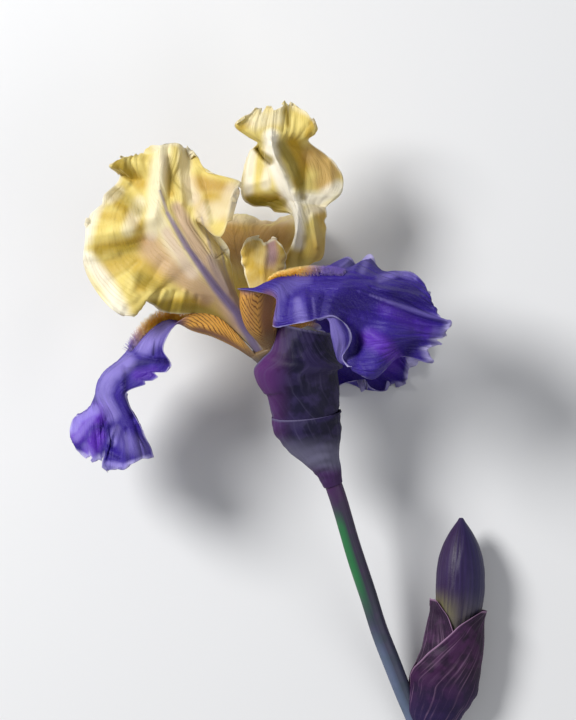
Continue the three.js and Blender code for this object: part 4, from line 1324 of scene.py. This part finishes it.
STANDARD_STROKES = {
    "standard_left": {
        # Cream of the paler lobes, with painted highlights on lit lobes and fold edges.
        "cream_and_highlight": [
            ([(-74, 44), (-70, 56), (-62, 68)], 5.5, 4.5, 0.8),
            ([(-59, 14), (-64, 24), (-73, 36)], 6, 5, 0.85),
            ([(-56, 47), (-51, 58)], 4, 5, 0.5),
            ([(-46, 46), (-45, 60), (-42, 82)], 5, 6, 0.6),
            ([(-33, 83), (-33, 70), (-30, 60)], 4, 5, 0.5),
            ([(-30, 30), (-38, 41), (-45, 54)], 4.5, 5, 0.55),
            ([(-24, 54), (-16, 56), (-13, 64)], 7, 5, 0.4),
            ([(-60, 63), (-64, 60)], 4, 4, 0.6),
        ],
        # Deeper gold, laid as painted shade in hollows and under folds.
        "gold": [
            ([(-68, 39), (-56, 41), (-48, 44)], 4, 4.5, 0.8),
            ([(-66, 30), (-56, 35), (-48, 31), (-44, 26)], 6, 6, 0.6),
            ([(-66, 53), (-56, 52)], 3, 4, 0.55),
            ([(-51, 24), (-46, 27)], 4, 4, 0.7),
            ([(-63, 62), (-57, 55), (-52, 49)], 4, 5, 0.7),
            ([(-60, 74), (-51, 66)], 4, 4, 0.8),
            ([(-41, 76), (-38.5, 62)], 3, 2.5, 0.7),
            ([(-46, 16), (-36, 17), (-26, 18)], 4, 5, 0.9),
            ([(-26, 66), (-14, 65)], 5, 3, 0.6),
            ([(-23, 60), (-13, 57)], 4, 4, 0.7),
        ],
        # Painted shade: olive in the darkest hollows and below the step fold.
        "olive_shade": [
            ([(-64, 64), (-57, 60), (-52, 55)], 5, 4.5, 0.55),
            ([(-62, 76), (-55, 70)], 3.5, 3.5, 0.4),
            ([(-68, 38), (-58, 39.5), (-52, 41)], 3.2, 3, 0.55),
            ([(-39.5, 76), (-38.5, 64)], 1.8, 1.6, 0.4),
            ([(-52, 28), (-46, 25)], 4, 4, 0.5),
            ([(-46, 16), (-36, 16), (-24, 14), (-14, 9)], 4, 3, 0.55),
            ([(-24, 58), (-22, 50)], 2.0, 1.8, 0.35),
        ],
        # Tan about the lower midrib, deepened as painted shade in the right hollow.
        "tan_and_shade": [
            ([(-48, 40), (-38, 30), (-26, 22), (-12, 8)], 8, 5, 0.5),
            ([(-26, 18), (-12, 8)], 4, 3, 0.4),
            ([(-29, 66), (-20, 64), (-12, 62)], 6, 4, 0.45),
            ([(-24, 57), (-16, 52)], 4, 4, 0.3),
        ],
        "blush": [
            ([(-9, 9), (-20, 26), (-29, 42), (-36, 56)], 8, 4, 0.7),
            ([(-16, 20), (-20, 34), (-25, 48), (-28, 60)], 5, 4, 0.35),
            ([(-46, 40), (-36, 30), (-24, 20)], 8, 5, 0.45),
            ([(-22, 20), (-33, 34), (-40, 46)], 4, 3.5, 0.5),
        ],
        "plum": [
            ([(-1, -6), (-5, 1), (-12, 14), (-20.5, 24)], 4.0, 2.8, 0.9),
            ([(-20.5, 24), (-32, 40)], 2.8, 1.6, 0.85),
            ([(-32, 40), (-40, 54)], 2.0, 1.2, 0.8),
            ([(-40, 54), (-43, 63)], 1.2, 0.5, 0.6),
            ([(-10, 12), (-17, 25), (-22, 36)], 6, 3, 0.35),
            ([(-13, 20), (-17, 32), (-19, 44)], 1.2, 0.6, 0.4),
            ([(-16, 22), (-22, 38), (-26, 52)], 1.2, 0.6, 0.35),
        ],
    },
    "standard_right": {
        # Cream of the white ridge and the lobes, with painted highlights where they face the light.
        "cream_and_highlight": [
            ([(13, 42), (12.5, 56), (7, 66), (2.5, 76), (2, 86)], 4.4, 5, 1.0),
            ([(-7.5, 64), (-7, 70), (-6, 79)], 4, 3.5, 0.85),
            ([(0, 66), (1, 72)], 3.5, 3, 0.7),
            ([(14, 60), (22, 60), (30, 65)], 5, 5, 0.85),
            ([(-4, 92), (4, 93)], 6, 5, 0.5),
            ([(15, 52), (18, 56), (24, 58)], 4, 4, 0.6),
        ],
        # Deeper gold, laid as painted shade in hollows and in the claw.
        "gold": [
            ([(-6, 60), (2, 59), (7, 60)], 5, 4.5, 0.9),
            ([(11, 83), (15, 74), (13, 67)], 5, 4, 0.9),
            ([(-3, 80), (2, 75)], 2.4, 2, 0.9),
            ([(8, 97), (9, 90)], 1.6, 1.2, 0.6),
            ([(20, 93), (17, 86)], 2.4, 2, 0.7),
            ([(-11, 89), (-6, 91)], 2.4, 1.8, 0.6),
            ([(10, 36), (18, 40), (24, 38)], 7, 7, 0.5),
            ([(20, 56), (26, 50)], 4, 4, 0.6),
        ],
        # Painted shade: tan in the claw and the right hollow.
        "tan_and_shade": [([(20, 78), (26, 72), (24, 67)], 8, 7, 0.65), ([(24, 54), (22, 36)], 6, 6, 0.3)],
        # Painted shade: olive in the slit and the hollows beside the ridge.
        "olive_shade": [
            ([(-4, 80.5), (1.5, 76)], 1.6, 3.2, 0.9),
            ([(-6, 60), (1, 57.6), (7, 59)], 3.4, 3.0, 0.85),
            ([(6, 82), (10.5, 75), (14, 66), (15, 61)], 3.6, 2.4, 0.7),
            ([(8, 96), (8.5, 91)], 1.6, 1.4, 0.45),
        ],
        "blush": [],
        "plum": [],
    },
    # The back standard lies behind and below the others: its gold and tan coats are painted shade.
    "standard_back": {
        "cream_and_highlight": [([(-37, 56), (-10, 54), (14, 54)], 5, 5, 0.4)],
        "gold": [([(-24, 44), (-6, 44), (8, 40)], 14, 12, 0.8)],
        "tan_and_shade": [([(-24, 48), (-8, 40), (4, 48)], 16, 14, 0.75)],
        "olive_shade": [],
        "blush": [],
        "plum": [],
    },
}

standard_skin = petal_skin(
    "standard_skin",
    ground="eedd86",
    paints=[
        # deeper gold, used as painted shade
        ("gold", "c8a424"),
        # tan, and painted shade
        ("tan_and_shade", "be8e50"),
        # cream, and painted highlights
        ("cream_and_highlight", "fdf8e8"),
        # painted shade in the darkest hollows
        ("olive_shade", "9a8624"),
        ("blush", "d2b2a6"),
        ("plum", "75669a"),
        ("rim", "fdf6e2"),
    ],
    vein_tint="c2a23c",
)
for name, (ribs, ruffles, crimp, seed) in STANDARDS.items():
    cuts = STANDARD_NOTCHES[name]
    standard = petal(name, ribs, ruffles, crimp, seed, STANDARD_FOLDS[name], *cuts)[0]
    for label, strokes in STANDARD_STROKES[name].items():
        mask(standard, label, brushed(standard, strokes))
    standard.data.materials.append(standard_skin)
    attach(standard, "root")
    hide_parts(name)


# Style: a short column in the throat with three arched arms, each ending in a frilled crest over a beard.
# It is one fleshy piece, gold with a violet flush and cream rims, and it grows up through the tube.
# An arm is its line, its half width at each point, the way in which it spreads, and the way its back faces.
COLUMN_LINE = [(0.1, -0.2, 0), (-0.8, 1.8, 0.2), (-2, 5, 0.5)]
COLUMN_RADIUS = 2.3
COLUMN_STEPS = (24, 24)
STYLE_TOP = (-1.5, 3.5, 0.4)
STYLE_ARMS = [
    (
        [STYLE_TOP, (-9, 8, 0), (-18, 14, 0), (-26, 18, 0), (-33, 23, 0)],
        [1.6, 3.2, 5, 6, 6.5],
        (0, 0, 1),
        (-0.4, 0.9, 0),
    ),
    (
        [STYLE_TOP, (-1.5, 12, 5), (-1, 22, 9), (-1, 31, 12), (-0.8, 38, 13), (-1.0, 44, 11.5)],
        [1.6, 3.4, 5.5, 8, 9.9, 9.8],
        (-1, 0.1, 0.1),
        (0, 0.3, 0.9),
    ),
    (
        [STYLE_TOP, (2, 10, -7), (6, 17, -14), (10, 24, -20), (13, 32, -23)],
        [1.6, 2.6, 4, 5.5, 6],
        (0.7, -0.5, 0.4),
        (0.4, 0.8, -0.2),
    ),
]
ARM_STEPS = (60, 80)
ARM_THICKNESS = 0.0008
ARM_RIM_SHARE = 0.3
STYLE_GOLD = "dcb840"
STYLE_PALE_GOLD = "eed78c"
STYLE_FLUSH = "b48ac0"
STYLE_VEIN = "b8922e"
STYLE_RIM = "fff8d8"


def style_lift(u, v):
    """An arm's frilled end, its fringed and waved rims, and the groove down its middle."""
    out = 2 * v - 1
    frill = 1.5 * np.sin(6 * out + 2 * np.sin(3 * out + 5 * u)) * ease(0.55, 1, u)
    fringe = 0.4 * np.sin(23 * out + 2 * np.sin(7 * out)) * ease(0.85, 1, u)
    edges = 0.7 * np.sin(26 * u + 3 * np.sin(9 * u)) * ease(0.6, 1, np.abs(out)) * ease(0.35, 0.7, u)
    return frill + fringe + edges - 0.8 * ease(0.2, 0, np.abs(out)) * ease(0.3, 0.8, u)


def crested(surface):
    """Splits the end of a style arm into two rounded lobes with an uneven, waved rim."""
    def place(u, v):
        out = 2 * v - 1
        notch = 0.08 * ease(0.25, 0, np.abs(out)) + 0.3 * np.abs(out) ** 5
        fringe = 0.02 * np.sin(9 * out + 2) + 0.01 * np.sin(19 * out)
        return surface(u * (1 - (notch + fringe) * ease(0.55, 1, u)), v)

    return place


def column_radius(u, angle):
    return COLUMN_RADIUS - 0.5 * u + 0 * angle


def style_arm(line, halves, spread, lean):
    """The surface of one arm: an arch with raised rims, deeper at its end."""
    ribs = []
    for i, (at, half) in enumerate(zip(line, halves)):
        last = i == len(line) - 1
        rises = (0.25, -0.1, 0.25, -0.1, 0.25) if last else (0.35, 0.1, 0, 0.1, 0.35)
        ribs.append(
            [
                np.array(at) + np.array(spread) * half * share - np.array(lean) * half * rise
                for share, rise in zip((-1, -0.55, 0, 0.55, 1), rises)
            ]
        )
    return crested(lofted(ribs, style_lift))


arms = sheet("style_arms", [(*ARM_STEPS, style_arm(*arm)) for arm in STYLE_ARMS])
u, v = steps_of(*ARM_STEPS)
arm_weights = ease(0, 0.12, np.minimum(v, 1 - v)) * ease(1, 0.85, u)
thicken(arms, ARM_THICKNESS, ARM_RIM_SHARE, np.tile(arm_weights, len(STYLE_ARMS)))
column_shape = capped(swept(COLUMN_LINE, column_radius), share=0.1)
column = sheet("style_column", [(*COLUMN_STEPS, column_shape)], closed=True)

style_skin, tree = new_skin("style_skin")
along = axis_of(tree, skin_map(tree), "Y")
across = axis_of(tree, skin_map(tree), "X")
fine, blotches = plant_cells(tree, fine=1500.0, coarse=130.0)
tint = mixed(tree, blotches, STYLE_GOLD, STYLE_PALE_GOLD)
middle = between(tree, away_from(tree, across, 0.36), 0.17, 0.03)
flush = calc(tree, "MULTIPLY", middle, between(tree, along, 0.55, 0.75, 0.0, 0.6))
tint = mixed(tree, flush, tint, STYLE_FLUSH)
lines = vein_lines(tree, count=30.0, slant=4.0, wobble=1.5, width=0.5)
tint = mixed(tree, calc(tree, "MULTIPLY", lines, 0.2), tint, STYLE_VEIN)
tint = mixed(tree, between(tree, edge_of(tree), 0.07, 0.02, 0.0, 0.8), tint, STYLE_RIM)
height = calc(tree, "ADD", calc(tree, "MULTIPLY", lines, -0.4), calc(tree, "MULTIPLY", fine, 0.5))
roughness = between(tree, blotches, 0.0, 1.0, 0.42, 0.55)
finish_skin(tree, tint, roughness, height, depth=0.00015, glow=0.2)
for piece in (arms, column):
    piece.data.materials.append(style_skin)
    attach(piece, "root")
    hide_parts("style")


# Stamens: one under each style arm, a thin pale thread that ends in a long anther dusted with pollen.
# They grow from the mouth of the tube.
STAMENS = {
    "stamen_left": [(-4.2, -1.9, 0), (-8.5, 2.5, 0), (-14, 6.5, 0), (-21, 10, 0), (-27, 12.5, 0)],
    "stamen_right": [(2.5, 0.8, 3.7), (1.5, 5, 7.5), (0.5, 10, 12), (0, 16.5, 16.5), (0.5, 23, 20.5)],
    "stamen_back": [(1.2, 1.5, -3.3), (2.8, 6, -7.5), (5.2, 11, -12), (8.5, 16, -17.5), (11, 21, -22.6)],
}
STAMEN_GIRTH = [(0, 0.7), (0.5, 0.6), (0.56, 1.2), (0.92, 1.1), (1, 0.5)]
STAMEN_STEPS = (20, 70)
THREAD_IVORY = "e2dcc0"
ANTHER_CREAM = "efe0a6"
POLLEN = "fff7dc"


def stamen_radius(u, angle):
    """A thread, then a thicker anther with a groove down each side."""
    groove = 0.16 * np.abs(np.sin(angle)) * ease(0.54, 0.6, u)
    return stops(STAMEN_GIRTH, u) - groove


stamen_skin, tree = new_skin("stamen_skin")
along = axis_of(tree, skin_map(tree), "Y")
grains = plant_cells(tree, fine=2600.0, coarse=300.0)[0]
tint = mixed(tree, between(tree, along, 0.5, 0.56), THREAD_IVORY, ANTHER_CREAM)
tint = mixed(tree, between(tree, grains, 0.4, 0.1, 0.0, 0.5), tint, POLLEN)
roughness = between(tree, along, 0.5, 0.6, 0.45, 0.85)
finish_skin(tree, tint, roughness, grains, depth=0.0002)
for name, line in STAMENS.items():
    stamen_shape = capped(swept(line, stamen_radius), share=0.03)
    stamen = sheet(name + "_thread", [(*STAMEN_STEPS, stamen_shape)], closed=True)
    stamen.data.materials.append(stamen_skin)
    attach(stamen, "root")
    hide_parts(name)


# Table, light and camera: the flower lies on a plain pale table and is seen straight from above, as the
# photograph shows it upright. The light is soft and comes from the upper left.
TABLE_HALF = 3.0
TABLE_GREY = (0.72, 0.72, 0.72, 1)
SKY_TINT = (0.9, 0.93, 1.0, 1)
SKY_STRENGTH = 0.28
CAMERA_PLACE = (0.00362, 0.03546, 2.55)
CAMERA_LENS = 304.9
CAMERA_SENSOR = 36

floor_shape = bmesh.new()
bmesh.ops.create_grid(floor_shape, x_segments=1, y_segments=1, size=TABLE_HALF)
floor_mesh = bpy.data.meshes.new("table")
floor_shape.to_mesh(floor_mesh)
floor_shape.free()
floor = bpy.data.objects.new("table", floor_mesh)
bpy.context.collection.objects.link(floor)
floor_skin = bpy.data.materials.new("table_top")
floor_skin.use_nodes = True
floor_shader = floor_skin.node_tree.nodes["Principled BSDF"]
floor_shader.inputs["Base Color"].default_value = TABLE_GREY
floor_shader.inputs["Roughness"].default_value = 0.8
floor_mesh.materials.append(floor_skin)


def lamp(name, place, aim, size, watts):
    """A round white lamp that faces a point. Places and size are in metres."""
    light = bpy.data.lights.new(name, "AREA")
    light.shape = "DISK"
    light.size = size
    light.energy = watts
    lit = bpy.data.objects.new(name, light)
    bpy.context.collection.objects.link(lit)
    direction = np.array(aim) - np.array(place)
    tilt = math.atan2(math.hypot(direction[0], direction[1]), -direction[2])
    turn = math.atan2(direction[0], -direction[1]) + math.pi
    lit.location = place
    lit.rotation_euler = (tilt, 0, turn)


lamp("key", place=(-0.8, 0.5, 0.95), aim=(0, 0.02, 0.03), size=0.5, watts=20.0)
lamp("fill", place=(0.9, -0.5, 0.9), aim=(0, 0, 0.03), size=1.0, watts=4.5)
world = bpy.data.worlds.new("studio")
world.use_nodes = True
sky = world.node_tree.nodes["Background"]
sky.inputs["Color"].default_value = SKY_TINT
sky.inputs["Strength"].default_value = SKY_STRENGTH
bpy.context.scene.world = world
bpy.context.scene.view_settings.view_transform = "Standard"

camera_data = bpy.data.cameras.new("camera")
camera_data.sensor_width = CAMERA_SENSOR
camera_data.lens = CAMERA_LENS
camera_data.clip_end = 20
camera = bpy.data.objects.new("camera", camera_data)
camera.location = CAMERA_PLACE
bpy.context.collection.objects.link(camera)
bpy.context.scene.camera = camera
